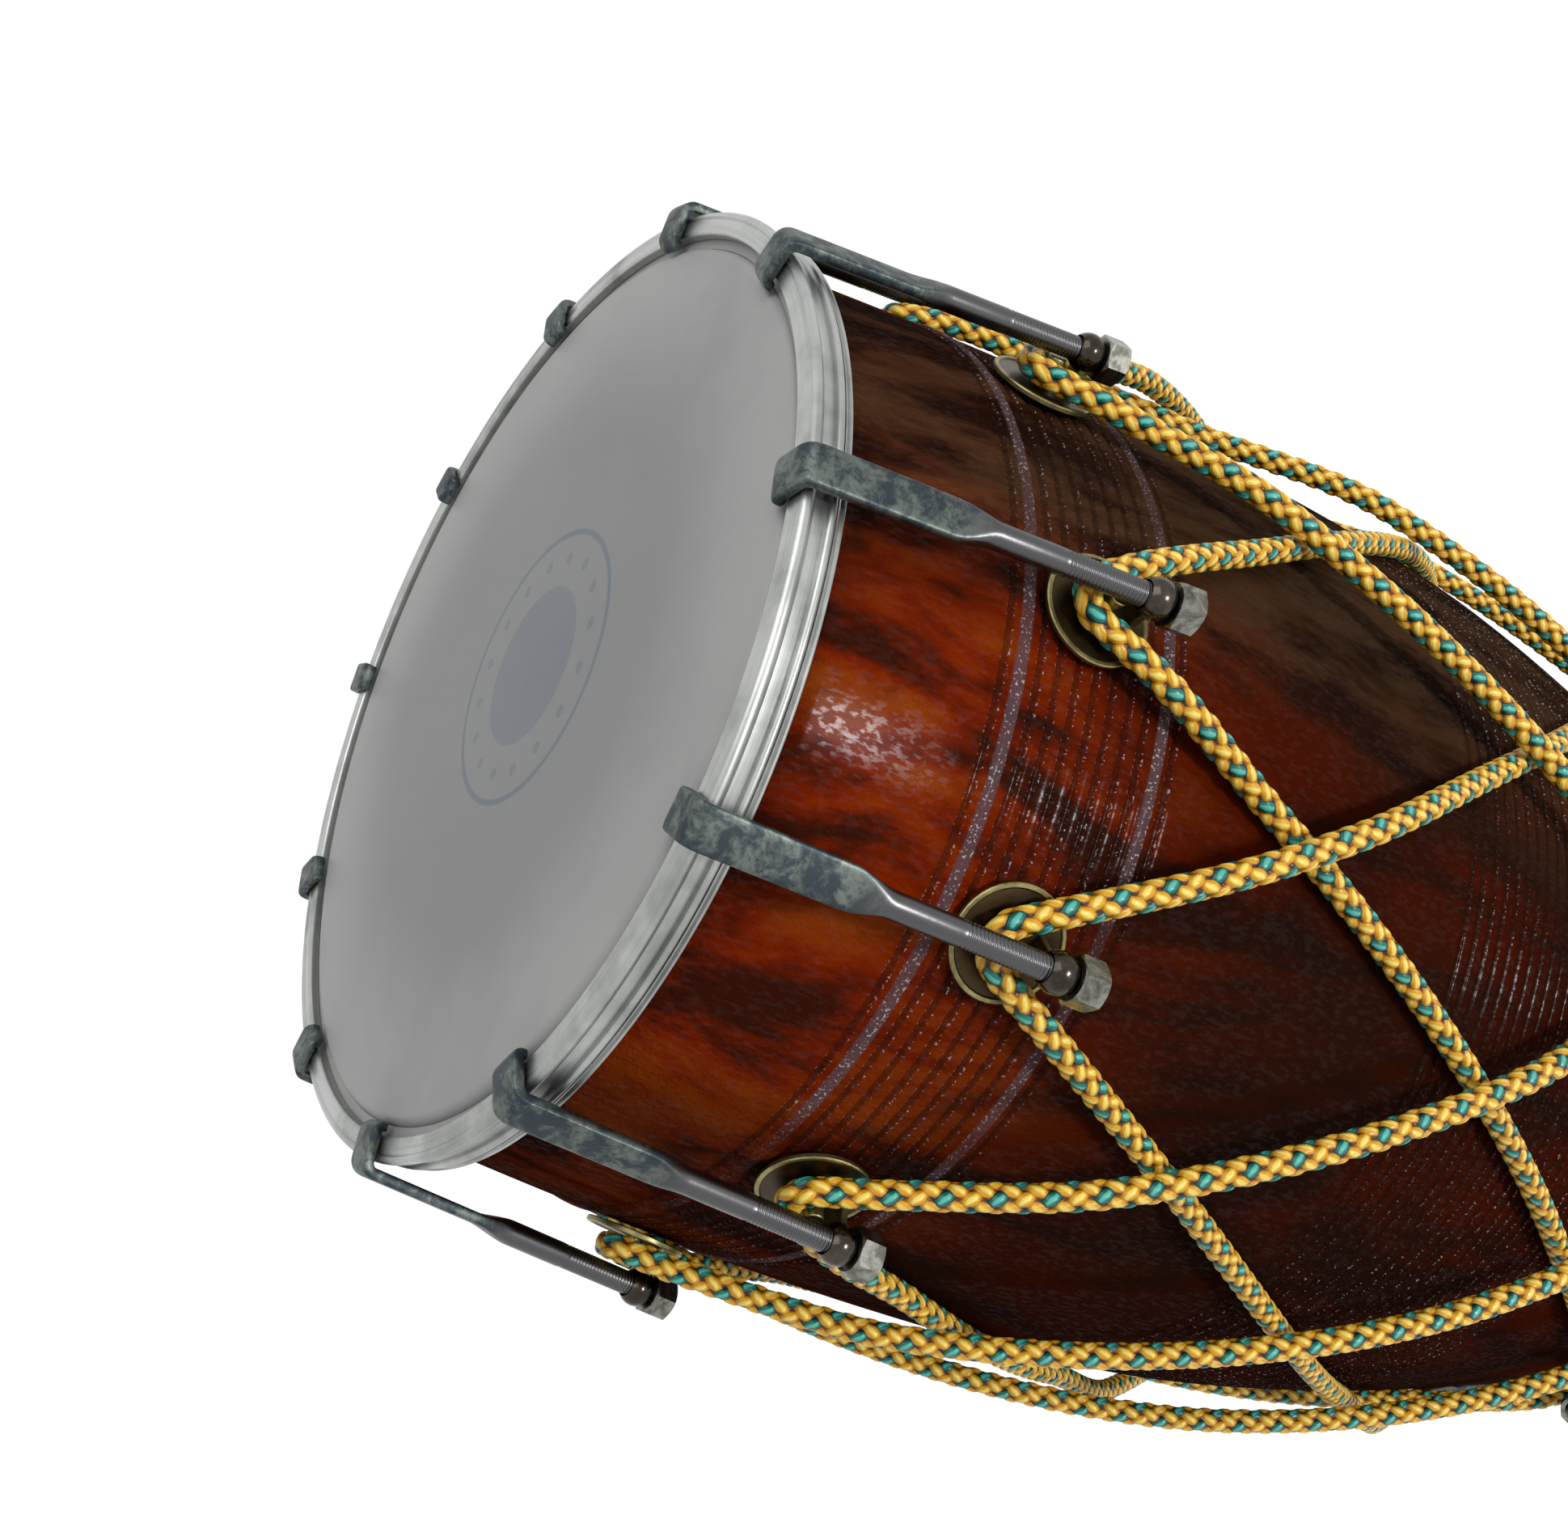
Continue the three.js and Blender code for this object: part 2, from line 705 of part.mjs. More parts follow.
// The rope's two ends meet in a knot beside the bass end, with two short tails
function knotSolids() {
  const run = strandRun(firstLaced, 1);
  const z = run.bottom.z + knotAt;
  const levels = runLevels(run);
  const centre = strandPoint(run, levels, z);
  const ahead = strandPoint(run, levels, z + ropeRadius);
  const along = ahead.clone().sub(centre).normalize();
  const outward = new THREE.Vector3(centre.x, centre.y, 0).normalize();
  outward.addScaledVector(along, -outward.dot(along)).normalize();
  const across = new THREE.Vector3().crossVectors(outward, along);
  const body = new THREE.SphereGeometry(1, nearFacets.ball, nearFacets.rings);
  body.scale(knotRadius, knotLength / 2, knotRadius);
  body.applyMatrix4(new THREE.Matrix4().makeBasis(outward, along, across));
  const seat = barrelRadius(z - middle) + seatGap + knotRadius;
  const raise = Math.max(0, seat - Math.hypot(centre.x, centre.y));
  const heart = centre.clone().addScaledVector(outward, raise);
  body.translate(heart.x, heart.y, heart.z);
  const tails = [1, -1].map((way) => {
    const aim = along.clone().multiplyScalar(way * Math.cos(knotTailAngle));
    aim.addScaledVector(across, Math.sin(knotTailAngle));
    aim.addScaledVector(outward, Math.sin(knotTailAngle) / 2);
    const side = new THREE.Vector3().crossVectors(aim.normalize(), outward).normalize();
    const rise = new THREE.Vector3().crossVectors(side, aim);
    const rings = [0, knotTail].map((reach) => {
      const spot = heart.clone().addScaledVector(aim, reach);
      const ring = [];
      for (let j = 0; j < ropeSides; j += 1) {
        const angle = (2 * Math.PI * j) / ropeSides;
        const corner = spot.clone();
        corner.addScaledVector(rise, ropeRadius * Math.cos(angle));
        corner.addScaledVector(side, ropeRadius * Math.sin(angle));
        ring.push(corner);
      }
      return ring;
    });
    return toSolid(skinRings(rings, false));
  });
  return [toSolid(body), ...tails];
}

// The bass saddles are one piece with the rope that carries them
function ropeAndBassSaddles() {
  let solid = toSolid(skinRings(ropeRings(ropeRoute(1)), true));
  for (const knot of knotSolids()) {
    solid = solid.add(knot);
  }
  const saddle = toGeometry(saddleSolid(bossRadius + seatGap + fuseDepth, farFacets));
  for (let index = 0; index < hookCount; index += 1) {
    const copy = saddle.clone();
    copy.rotateY(-rodTilt);
    copy.translate(ballOut, 0, -ballDepth);
    copy.rotateZ(-hookAngle(-1, index));
    copy.rotateX(Math.PI);
    copy.translate(0, 0, hookRise);
    solid = solid.add(toSolid(copy));
  }
  return toGeometry(solid);
}

// One end of the drum: its own frame has the lip plane at height 0 and +Z out of the head
function makeEnd(side, label) {
  const end = new THREE.Group();
  const facets = side > 0 ? nearFacets : farFacets;
  const hook = hookGeometry(facets);
  const nut = nutGeometry();
  const saddle = side > 0 ? toGeometry(saddleSolid(bossRadius, facets)) : null;
  for (let index = 0; index < hookCount; index += 1) {
    const number = String(index + 1).padStart(2, '0');
    const spoke = new THREE.Group();
    spoke.rotation.z = side * hookAngle(side, index);
    spoke.add(named(`${label}_hook_${number}`, hook, dullZinc()));
    const onRod = new THREE.Group();
    onRod.position.set(ballOut, 0, -ballDepth);
    onRod.rotation.y = -rodTilt;
    onRod.add(named(`${label}_nut_${number}`, nut, nutZinc()));
    if (saddle) {
      onRod.add(named(`${label}_saddle_${number}`, saddle, yellowZinc()));
    }
    spoke.add(onRod);
    end.add(spoke);
  }
  const firstTurn = side * hookAngle(side, 0);
  if (side > 0) {
    const hoop = revolve(hoopOutline(), hoopFacets);
    const head = revolve(headOutline(-lipThick - seatGap), headFacets);
    const trebleHoop = named(`${label}_hoop`, hoop, aluminium());
    const trebleHead = named(`${label}_head`, head, plasticFilm());
    trebleHoop.rotation.z = firstTurn;
    trebleHead.rotation.z = firstTurn;
    end.add(trebleHoop, trebleHead);
    end.position.z = fullHeight - hookRise;
  } else {
    const hoop = revolve(hoopOutline(), headFacets);
    const head = revolve(headOutline(-lipThick + fuseDepth), headFacets);
    const joined = toGeometry(toSolid(hoop).add(toSolid(head)));
    const bassHoop = named(`${label}_head_and_hoop`, joined, aluminium());
    bassHoop.rotation.z = firstTurn;
    end.add(bassHoop);
    end.rotation.x = Math.PI;
    end.position.z = hookRise;
  }
  return end;
}

const drum = new THREE.Group();
drum.add(makeShell());
drum.add(makeEnd(1, 'treble'));
drum.add(makeEnd(-1, 'bass'));
drum.add(named('lacing_rope', ropeAndBassSaddles(), goldRope()));

const measured = leastSelfGap(ropeRoute(routeDetail));
console.log(`rope length ${measured.total.toFixed(0)} mm, least gap to itself ${measured.gap.toFixed(2)} mm`);

export default drum;
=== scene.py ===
"""Barrel drum of the dhol kind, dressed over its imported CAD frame.

Metres. +Z runs along the drum's axis, from the bass head up to the treble head. The hardware of
both ends is made once, in an end's own frame: x is the distance from the drum's axis and z the
height above the hoop's lip, away from the shell. The bass end is the treble end turned over.
"""

import json
import math

import bmesh
import bpy
from bpy.props import FloatProperty, FloatVectorProperty, IntProperty, PointerProperty
from mathutils import Matrix, Vector


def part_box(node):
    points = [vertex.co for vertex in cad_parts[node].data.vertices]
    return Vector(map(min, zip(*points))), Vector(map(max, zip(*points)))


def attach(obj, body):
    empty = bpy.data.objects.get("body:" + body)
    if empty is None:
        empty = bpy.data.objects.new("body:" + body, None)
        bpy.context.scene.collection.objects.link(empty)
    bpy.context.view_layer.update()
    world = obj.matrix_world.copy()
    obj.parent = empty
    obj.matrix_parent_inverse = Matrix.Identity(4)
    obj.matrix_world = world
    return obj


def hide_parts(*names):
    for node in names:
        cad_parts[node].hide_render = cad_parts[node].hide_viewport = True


bl_info = {
    "name": "Barrel Drum",
    "version": (1, 0, 0),
    "blender": (4, 5, 0),
    "location": "3D View > Sidebar > Drum",
    "description": "Builds a rope-laced barrel drum with tuned plastic heads",
    "category": "Object",
}

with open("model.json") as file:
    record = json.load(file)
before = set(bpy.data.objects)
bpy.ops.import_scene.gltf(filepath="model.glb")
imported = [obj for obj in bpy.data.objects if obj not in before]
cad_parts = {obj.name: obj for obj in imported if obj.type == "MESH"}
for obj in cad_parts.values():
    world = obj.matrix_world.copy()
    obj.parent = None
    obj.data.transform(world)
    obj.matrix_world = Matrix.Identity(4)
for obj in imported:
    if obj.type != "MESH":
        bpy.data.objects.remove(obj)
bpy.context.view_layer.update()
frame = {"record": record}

# Places that the CAD frame gives
JOINTS = {joint["name"]: joint for joint in frame["record"]["behaviour"]["joints"]}
END_NAMES = {1: "treble", -1: "bass"}
HOOK_COUNT = sum(name.startswith("treble_nut_turn") for name in JOINTS)
HOOK_STEP = math.tau / HOOK_COUNT
LIP_HEIGHTS = {1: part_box("treble_hoop")[1].z, -1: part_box("bass_head_and_hoop")[0].z}
MIDDLE = (LIP_HEIGHTS[1] + LIP_HEIGHTS[-1]) / 2
HALF_LENGTH = (LIP_HEIGHTS[1] - LIP_HEIGHTS[-1]) / 2
BELLY_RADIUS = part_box("shell")[1].x

FIRST_NUT = JOINTS["treble_nut_turn_01"]
BALL_OUT = math.hypot(*FIRST_NUT["pos_m"][:2])
BALL_DEPTH = LIP_HEIGHTS[1] - FIRST_NUT["pos_m"][2]
ROD_TILT = math.atan2(math.hypot(*FIRST_NUT["axis"][:2]), abs(FIRST_NUT["axis"][2]))
FIRST_ANGLES = {
    side: math.atan2(*JOINTS[f"{name}_nut_turn_01"]["pos_m"][1::-1])
    for side, name in END_NAMES.items()
}

# Values that the panel doesn't offer
MERGE = 1e-6  # distance within which vertices are merged
COLLAR_GAP = 0.0003  # gap between a hoop's foot and the collar's slope
LAMP_AIM = HALF_LENGTH * 1.66  # height on the axis that the lamps point at
BRAID_ROUND = 5.6  # how sharply a strand's back falls away to its edges
BRAID_OVER = 0.45  # how far the upper strand of a crossing stands out
BRAID_LAY = 0.4  # how far the crossings are drawn out along the rope


# Properties

def length(name, default, description):
    return FloatProperty(
        name=name, description=description, default=default, min=0, precision=5, unit="LENGTH"
    )


def share(name, default, description):
    return FloatProperty(
        name=name, description=description, default=default, min=0, soft_max=1, subtype="FACTOR"
    )


def number(name, default, description):
    return FloatProperty(name=name, description=description, default=default)


def count(name, default, description):
    return IntProperty(name=name, description=description, default=default, min=1)


def angle(name, default, description):
    return FloatProperty(
        name=name, description=description, default=math.radians(default), subtype="ANGLE"
    )


def colour(name, default, description):
    return FloatVectorProperty(
        name=name, description=description, default=default, min=0, max=1, subtype="COLOR"
    )


def place(name, default, description, subtype="TRANSLATION"):
    return FloatVectorProperty(
        name=name, description=description, default=default, precision=6, subtype=subtype
    )


class ShellProperties(bpy.types.PropertyGroup):
    """The turned wooden shell."""

    bulge: length("Bulge", 0.036, "How far the belly stands out past the necks")
    neck_step: length("Neck step", 0.0045, "How far each neck stands out past its collar")
    shoulder: length("Shoulder", 0.0034, "Height of the slope from the neck to the collar")
    hoop_clearance: length("Hoop clearance", 0.0139, "Depth of the collar's foot below the lip")
    barrel_power: number("Barrel power", 1.7, "How full the barrel's curve is")
    wall: length("Wall", 0.009, "Thickness of the wood")
    edge_round: length("Edge round", 0.003, "Rounding of the edge that the film bears on")
    edge_depth: length("Edge depth", 0.0026, "Depth of the bearing edge below the lip")
    band_depth: length("Band depth", 0.0775, "Depth of the first raised ring below the lip")
    band_width: length("Band width", 0.0505, "Distance between the two raised rings of a band")
    ring_half_width: length("Ring half width", 0.0026, "Half the width of a raised ring")
    ring_height: length("Ring height", 0.0008, "How far a raised ring stands out")
    groove_half_width: length("Groove half width", 0.0016, "Half the width of a turned line")
    groove_depth: length("Groove depth", 0.0007, "Depth of a turned line")
    groove_pitch: length("Groove pitch", 0.0063, "Distance between turned lines")
    belly_half_width: length("Belly half width", 0.0758, "Half the width of the belly's lines")
    spans: length("Span", 0.006, "Height of the plain strips that the barrel is turned in")
    steps: count("Steps", 144, "Steps round the shell")
    bright: colour("Bright", (0.150, 0.0115, 0.0006), "Lacquered wood near the hoops")
    orange: colour("Orange", (0.22, 0.040, 0.003), "Light figure near the hoops")
    red: colour("Red", (0.045, 0.0045, 0.0006), "Lacquered wood over the belly")
    # Brown wood that carries painted shade on the drum's +X side
    shaded_brown: colour("Brown", (0.040, 0.021, 0.010), "Brown sapwood")
    # Dark grain, also used as painted shade in the turned lines and on the ±X sides
    dark: colour("Dark", (0.011, 0.0042, 0.0024), "Dark figure of the grain")
    ring: colour("Ring", (0.082, 0.050, 0.056), "Dull bloom on the raised rings")
    # Painted glints: bright specks on the raised rings and along the edges of the turned lines
    painted_sparkle: colour("Sparkle", (0.52, 0.46, 0.48), "Bright specks along the turned lines")


class HeadProperties(bpy.types.PropertyGroup):
    """The plastic heads with their skirts and flesh hoops."""

    skirt_radius: length("Skirt radius", 0.1535, "Outer radius of the skirt")
    skirt_wall: length("Skirt wall", 0.0009, "Thickness of the skirt")
    film_drop: length("Film drop", 0.0015, "Depth of the film below the lip")
    film_wall: length("Film wall", 0.0008, "Thickness of the film")
    film_round: length("Film round", 0.0034, "Rounding from the film to the skirt")
    flesh_top: length("Flesh hoop top", 0.0039, "Depth of the flesh hoop's top below the lip")
    flesh_width: length("Flesh hoop width", 0.0057, "Width of the flesh hoop")
    flesh_height: length("Flesh hoop height", 0.0056, "Height of the flesh hoop")
    steps: count("Steps", 144, "Steps round the head")
    print_radius: length("Print radius", 0.0475, "Radius of the printed ring")
    print_line: length("Print line", 0.0007, "Half the width of the printed ring's line")
    print_disc: length("Print disc", 0.0285, "Radius of the printed disc")
    print_dots: count("Print dots", 16, "Number of printed dots")
    print_dot_radius: length("Print dot radius", 0.0024, "Radius of a printed dot")
    print_place: place("Print place", (0.001, -0.017, 0), "Middle of the printed ring")
    film: colour("Film", (0.255, 0.260, 0.257), "Coated film")
    # Painted light: the film shows lighter towards its rim
    edge: colour("Film edge", (0.39, 0.395, 0.385), "Film towards its rim")
    ink: colour("Ink", (0.135, 0.165, 0.205), "Printed motif")


class HoopProperties(bpy.types.PropertyGroup):
    """The aluminium counterhoops."""

    radius: length("Radius", 0.165, "Outer radius")
    lip_reach: length("Lip reach", 0.0082, "How far the lip reaches in over the flesh hoop")
    lip_thick: length("Lip thickness", 0.0036, "Thickness of the lip")
    wall: length("Wall", 0.0042, "Thickness of the upright wall")
    height: length("Height", 0.0136, "Height of the hoop")
    steps: count("Steps", 192, "Steps round the hoop")
    metal: colour("Metal", (0.46, 0.47, 0.46), "Polished aluminium")
    worn: colour("Worn", (0.20, 0.21, 0.20), "Dull and stained aluminium")


class HookProperties(bpy.types.PropertyGroup):
    """The hook rods."""

    rod_radius: length("Rod radius", 0.0039, "Radius of the round rod")
    rod_end: length("Rod end", 0.015057, "Length of rod past the middle of its ball")
    rod_chamfer: length("Rod chamfer", 0.0008, "Chamfer at the rod's end")
    thread_end: length("Thread end", 0.031, "Where the thread stops, from the ball")
    thread_pitch: length("Thread pitch", 0.00125, "Pitch of the thread")
    thread_depth: length("Thread depth", 0.0004, "Depth of the thread")
    round_end: length("Round end", 0.053, "Where the rod begins to spread, from the ball")
    spread_end: length("Spread end", 0.066, "Where the flat blade begins, from the ball")
    blade_width: length("Blade width", 0.0122, "Width of the flat blade")
    blade_thick: length("Blade thickness", 0.0036, "Thickness of the flat blade")
    tip_width: length("Tip width", 0.0104, "Width of the turned-down tip")
    tip_thick: length("Tip thickness", 0.0028, "Thickness of the turned-down tip")
    tip_reach: length("Tip reach", 0.0009, "How far the tip reaches below the lip's top")
    tip_gap: length("Tip gap", 0.0012, "Gap between the tip and the lip")
    seat_gap: length("Seat gap", 0.0003, "Gap between the blade and the lip")
    hook_bend: length("Hook bend", 0.0036, "Radius of the bend over the hoop")
    tip_bend: length("Tip bend", 0.0022, "Radius of the bend at the tip")
    blade_power: number("Blade power", 7.0, "How square the blade's section is")
    sides: count("Sides", 24, "Sides of the rod")
    zinc: colour("Zinc", (0.135, 0.155, 0.140), "Dull zinc")
    stain: colour("Stain", (0.036, 0.047, 0.056), "Dark stains on the zinc")
    shine: colour("Shine", (0.100, 0.098, 0.102), "Rubbed zinc")


class SaddleProperties(bpy.types.PropertyGroup):
    """The saddles: plate, boss, lug and ball eye."""

    plate_top: length("Plate top", 0.01385, "Depth of the plate's face below the rod's middle")
    plate_thick: length("Plate thickness", 0.0018, "Thickness of the plate")
    plate_radius: length("Plate radius", 0.0175, "Radius of the plate")
    rim_width: length("Rim width", 0.0013, "Width of the raised rim")
    rim_height: length("Rim height", 0.0005, "Height of the raised rim")
    boss_ahead: length("Boss ahead", 0.0085, "How far the boss stands ahead of the ball")
    boss_radius: length("Boss radius", 0.003, "Radius of the boss")
    boss_top: length("Boss top", 0.00425, "Depth of the boss's top below the rod's middle")
    lug_thick: length("Lug thickness", 0.0024, "Thickness of the upright lug")
    lug_foot: length("Lug foot", 0.012, "Width of the lug at the plate")
    lug_waist: length("Lug waist", 0.0070, "Width of the lug at its waist")
    ball_radius: length("Ball radius", 0.0062, "Radius of the ball eye")
    ball_bore: length("Ball bore", 0.00425, "Radius of the hole through the ball")
    steps: count("Steps", 40, "Steps round the ball and the plate")
    zinc: colour("Yellow zinc", (0.30, 0.26, 0.115), "Yellow passivated zinc")
    pale: colour("Smoke", (0.130, 0.115, 0.095), "Smoky streaks on the ball")
    stain: colour("Stain", (0.060, 0.050, 0.024), "Dull olive stains")
    # Painted shade inside the plate's rim, under the rope's loop
    dish_shade: colour("Dish", (0.034, 0.017, 0.010), "Dark stain inside the plate's rim")
    ball: colour("Ball", (0.042, 0.034, 0.028), "Polished ball")


class NutProperties(bpy.types.PropertyGroup):
    """The hex nuts."""

    flats: length("Across flats", 0.013, "Width across the flats")
    thick: length("Thickness", 0.0084, "Thickness of the nut")
    face: length("Face", 0.0044567, "Distance of the nut's face from the ball's middle")
    bore: length("Bore", 0.00405, "Radius of the bore")
    countersink: length("Countersink", 0.0006, "Width of the bore's chamfer")
    chamfer: angle("Chamfer", 30, "Slope of the chamfer on the corners")
    sides: count("Sides", 48, "Sides of the nut, a multiple of six")
    zinc: colour("Zinc", (0.27, 0.27, 0.24), "Bright zinc")
    stain: colour("Stain", (0.050, 0.048, 0.036), "Dull zinc")


class LacingProperties(bpy.types.PropertyGroup):
    """The braided rope that is laced round the saddles."""

    radius: length("Radius", 0.0045, "Radius of the rope")
    seat_gap: length("Seat gap", 0.0003, "Gap between the rope and what it lies on")
    self_gap: length("Self gap", 0.00045, "Gap where the rope crosses itself")
    leg: length("Leg", 0.017, "Straight length between a boss and the edge of its plate")
    crossing_flat: length("Crossing flat", 0.011, "Half the length that lies on another strand")
    down_reach: count("Down reach", 2, "How many hooks a strand moves round on its way down")
    up_reach: count("Up reach", 3, "How many hooks a strand moves round on its way up")
    first_laced: count("First laced", 9, "The treble hook that the rope was laced to first")
    spacing: length("Spacing", 0.00115, "Distance between the rings of the rope's mesh")
    sides: count("Sides", 26, "Sides of the rope's mesh")
    pieces: count("Pieces", 4, "Pieces that the rope's mesh is cut into")
    braid_pitch: length("Braid pitch", 0.0315, "Length in which a strand goes once round")
    strands: count("Strands", 4, "Strands that run each way round the braid")
    relief: length("Relief", 0.0013, "Depth of the braid")
    rounding: length("Rounding", 0.006, "Length over which the route's corners are eased")
    knot_length: length("Knot length", 0.034, "Length of the knot")
    knot_radius: length("Knot radius", 0.0086, "Radius of the knot")
    knot_at: length("Knot place", 0.038, "Distance of the knot from the bass plate")
    knot_turns: number("Knot turns", 3.5, "Turns of rope in the knot")
    knot_share: share("Knot share", 0.72, "How thin the tightened rope is in the knot")
    tail: length("Tail", 0.030, "Length of the two loose ends")
    tail_angle: angle("Tail angle", 20, "How far the ends stand away from the strand")
    gold: colour("Gold", (0.62, 0.31, 0.010), "Yellow yarn")
    # Painted highlight on the strands' crests
    light: colour("Light gold", (0.90, 0.74, 0.175), "Yarn where it stands proud")
    shade: colour("Shade", (0.34, 0.11, 0.004), "Yarn towards its edges")
    # Painted shade in the braid's hollows
    pit_shade: colour("Pit", (0.060, 0.026, 0.003), "Yarn in the hollows")
    teal: colour("Teal", (0.007, 0.145, 0.112), "Green tracer yarn")
    # Painted highlight on the green strands' crests
    teal_highlight: colour("Light teal", (0.13, 0.56, 0.47), "Green yarn where it stands proud")
    teal_shade: colour("Teal shade", (0.001, 0.014, 0.012), "Green yarn in the hollows")


class StudioProperties(bpy.types.PropertyGroup):
    """Camera, floor and lamps."""

    camera: place("Camera", (-0.058368, -0.458533, 0.850504), "Where the camera stands")
    view: place("View", (0.112957, 0.844717, -0.523158), "Which way it looks", "XYZ")
    up: place("Up", (0.943200, 0.074405, 0.323787), "Which way is up in the picture", "XYZ")
    lens: number("Lens", 32.64, "Focal length in millimetres")
    sensor: number("Sensor", 36.0, "Width of the sensor in millimetres")
    floor_size: length("Floor size", 60.0, "Width of the floor")
    floor_white: share("Floor white", 0.85, "How much of the floor shows as plain white")
    floor_glow: number("Floor glow", 1.12, "Glow that makes the unshaded floor plain white")
    floor_colour: colour("Floor", (0.86, 0.86, 0.86), "The pale floor")
    fill: share("Fill", 0.42, "Strength of the world's light")
    key_place: place("Key", (0.28, -2.2, 0.19), "Where the key lamp stands")
    key_size: length("Key size", 0.36, "Width of the key lamp")
    key_height: length("Key height", 0.17, "Height of the key lamp")
    key_power: number("Key power", 24.0, "Power of the key lamp in watts")
    top_place: place("Top", (0.9, -1.2, 2.2), "Where the top lamp hangs")
    top_size: length("Top size", 1.6, "Width of the top lamp")
    top_power: number("Top power", 20.0, "Power of the top lamp in watts")


# Places of the hardware

def hook_angle(side, index):
    return FIRST_ANGLES[side] - index * HOOK_STEP


def end_matrix(side, index):
    """From an end's own frame, with hook `index` on +X, to the drum's frame."""
    lip = Matrix.Translation((0, 0, LIP_HEIGHTS[side]))
    spoke = Matrix.Rotation(side * hook_angle(side, index), 4, "Z")
    if side > 0:
        return lip @ spoke
    return lip @ Matrix.Rotation(math.pi, 4, "X") @ spoke


def rod_matrix():
    """From a rod's frame to its end's: z runs up the rod, x away from the drum."""
    ball = Matrix.Translation((BALL_OUT, 0, -BALL_DEPTH))
    return ball @ Matrix.Rotation(-ROD_TILT, 4, "Y")


def every_hook():
    """Side, name of the end, two-digit number and end's matrix of all the hooks in turn."""
    for side, end in END_NAMES.items():
        for index in range(HOOK_COUNT):
            yield side, end, f"{index + 1:02d}", end_matrix(side, index)


# Mesh tools

def smoothstep(value):
    value = min(1, max(0, value))
    return value * value * (3 - 2 * value)


def polar(radius, turn, height):
    return Vector((radius * math.cos(turn), radius * math.sin(turn), height))


def verts_of(geom):
    return [part for part in geom if isinstance(part, bmesh.types.BMVert)]


def closed(bm):
    """Merges doubles, caps the open ends and points the faces outwards."""
    bmesh.ops.remove_doubles(bm, verts=bm.verts[:], dist=MERGE)
    open_edges = [edge for edge in bm.edges if edge.is_boundary]
    bmesh.ops.holes_fill(bm, edges=open_edges, sides=0)
    bmesh.ops.recalc_face_normals(bm, faces=bm.faces[:])
    return bm


def turned(outline, steps):
    """Turns a closed outline of (radius, height) points round +Z."""
    bm = bmesh.new()
    verts = [bm.verts.new((radius, 0, height)) for radius, height in outline]
    edges = [bm.edges.new(pair) for pair in zip(verts, verts[1:] + verts[:1])]
    bmesh.ops.spin(
        bm, geom=verts + edges, cent=(0, 0, 0), axis=(0, 0, 1), angle=math.tau, steps=steps,
        use_merge=True, use_duplicate=False,
    )
    bmesh.ops.remove_doubles(bm, verts=bm.verts[:], dist=MERGE)
    loose = [edge for edge in bm.edges if not edge.link_faces]
    bmesh.ops.delete(bm, geom=loose, context="EDGES")
    bmesh.ops.recalc_face_normals(bm, faces=bm.faces[:])
    return bm


def lofted(sections, sides):
    """Skins a row of sections, each a function from an angle to a point, and caps both ends."""
    bm = bmesh.new()
    spoke = bm.verts.layers.int.new("spoke")
    ring = bmesh.ops.create_circle(bm, segments=sides, radius=1)["verts"]
    for place_round, vert in enumerate(ring):
        vert[spoke] = place_round
    rim = bm.edges[:]
    for step, section in enumerate(sections):
        if step:
            grown = bmesh.ops.extrude_edge_only(bm, edges=rim)["geom"]
            ring = verts_of(grown)
            rim = [p for p in grown if isinstance(p, bmesh.types.BMEdge) and p.is_boundary]
        for vert in ring:
            vert.co = section(math.tau * vert[spoke] / sides)
    return closed(bm)


def arc(centre, radius, start, end, steps):
    """Points on an arc about `centre`, between two angles in degrees."""
    points = []
    for step in range(steps + 1):
        turn = math.radians(start + (end - start) * step / steps)
        across = centre[0] + radius * math.cos(turn)
        points.append((across, centre[1] + radius * math.sin(turn)))
    return points


def join(*parts):
    """One bmesh from several, which are freed."""
    whole = bmesh.new()
    for part in parts:
        mesh = bpy.data.meshes.new("part")
        part.to_mesh(mesh)
        part.free()
        whole.from_mesh(mesh)
        bpy.data.meshes.remove(mesh)
    return whole


def add_piece(name, bm, matrix, body, finish, nodes, smooth):
    """Places a copy of a bmesh in the drum's frame and makes it a piece of the drum.

    Edges that fold by more than `smooth` degrees stay sharp.
    """
    mesh = bpy.data.meshes.new(name)
    bm.to_mesh(mesh)
    mesh.transform(matrix)
    mesh.materials.append(finish)
    mesh.polygons.foreach_set("use_smooth", [True] * len(mesh.polygons))
    mesh.set_sharp_from_angle(angle=math.radians(smooth))
    piece = bpy.data.objects.new(name, mesh)
    bpy.context.scene.collection.objects.link(piece)
    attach(piece, body)
    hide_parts(*nodes)


# Shader tools

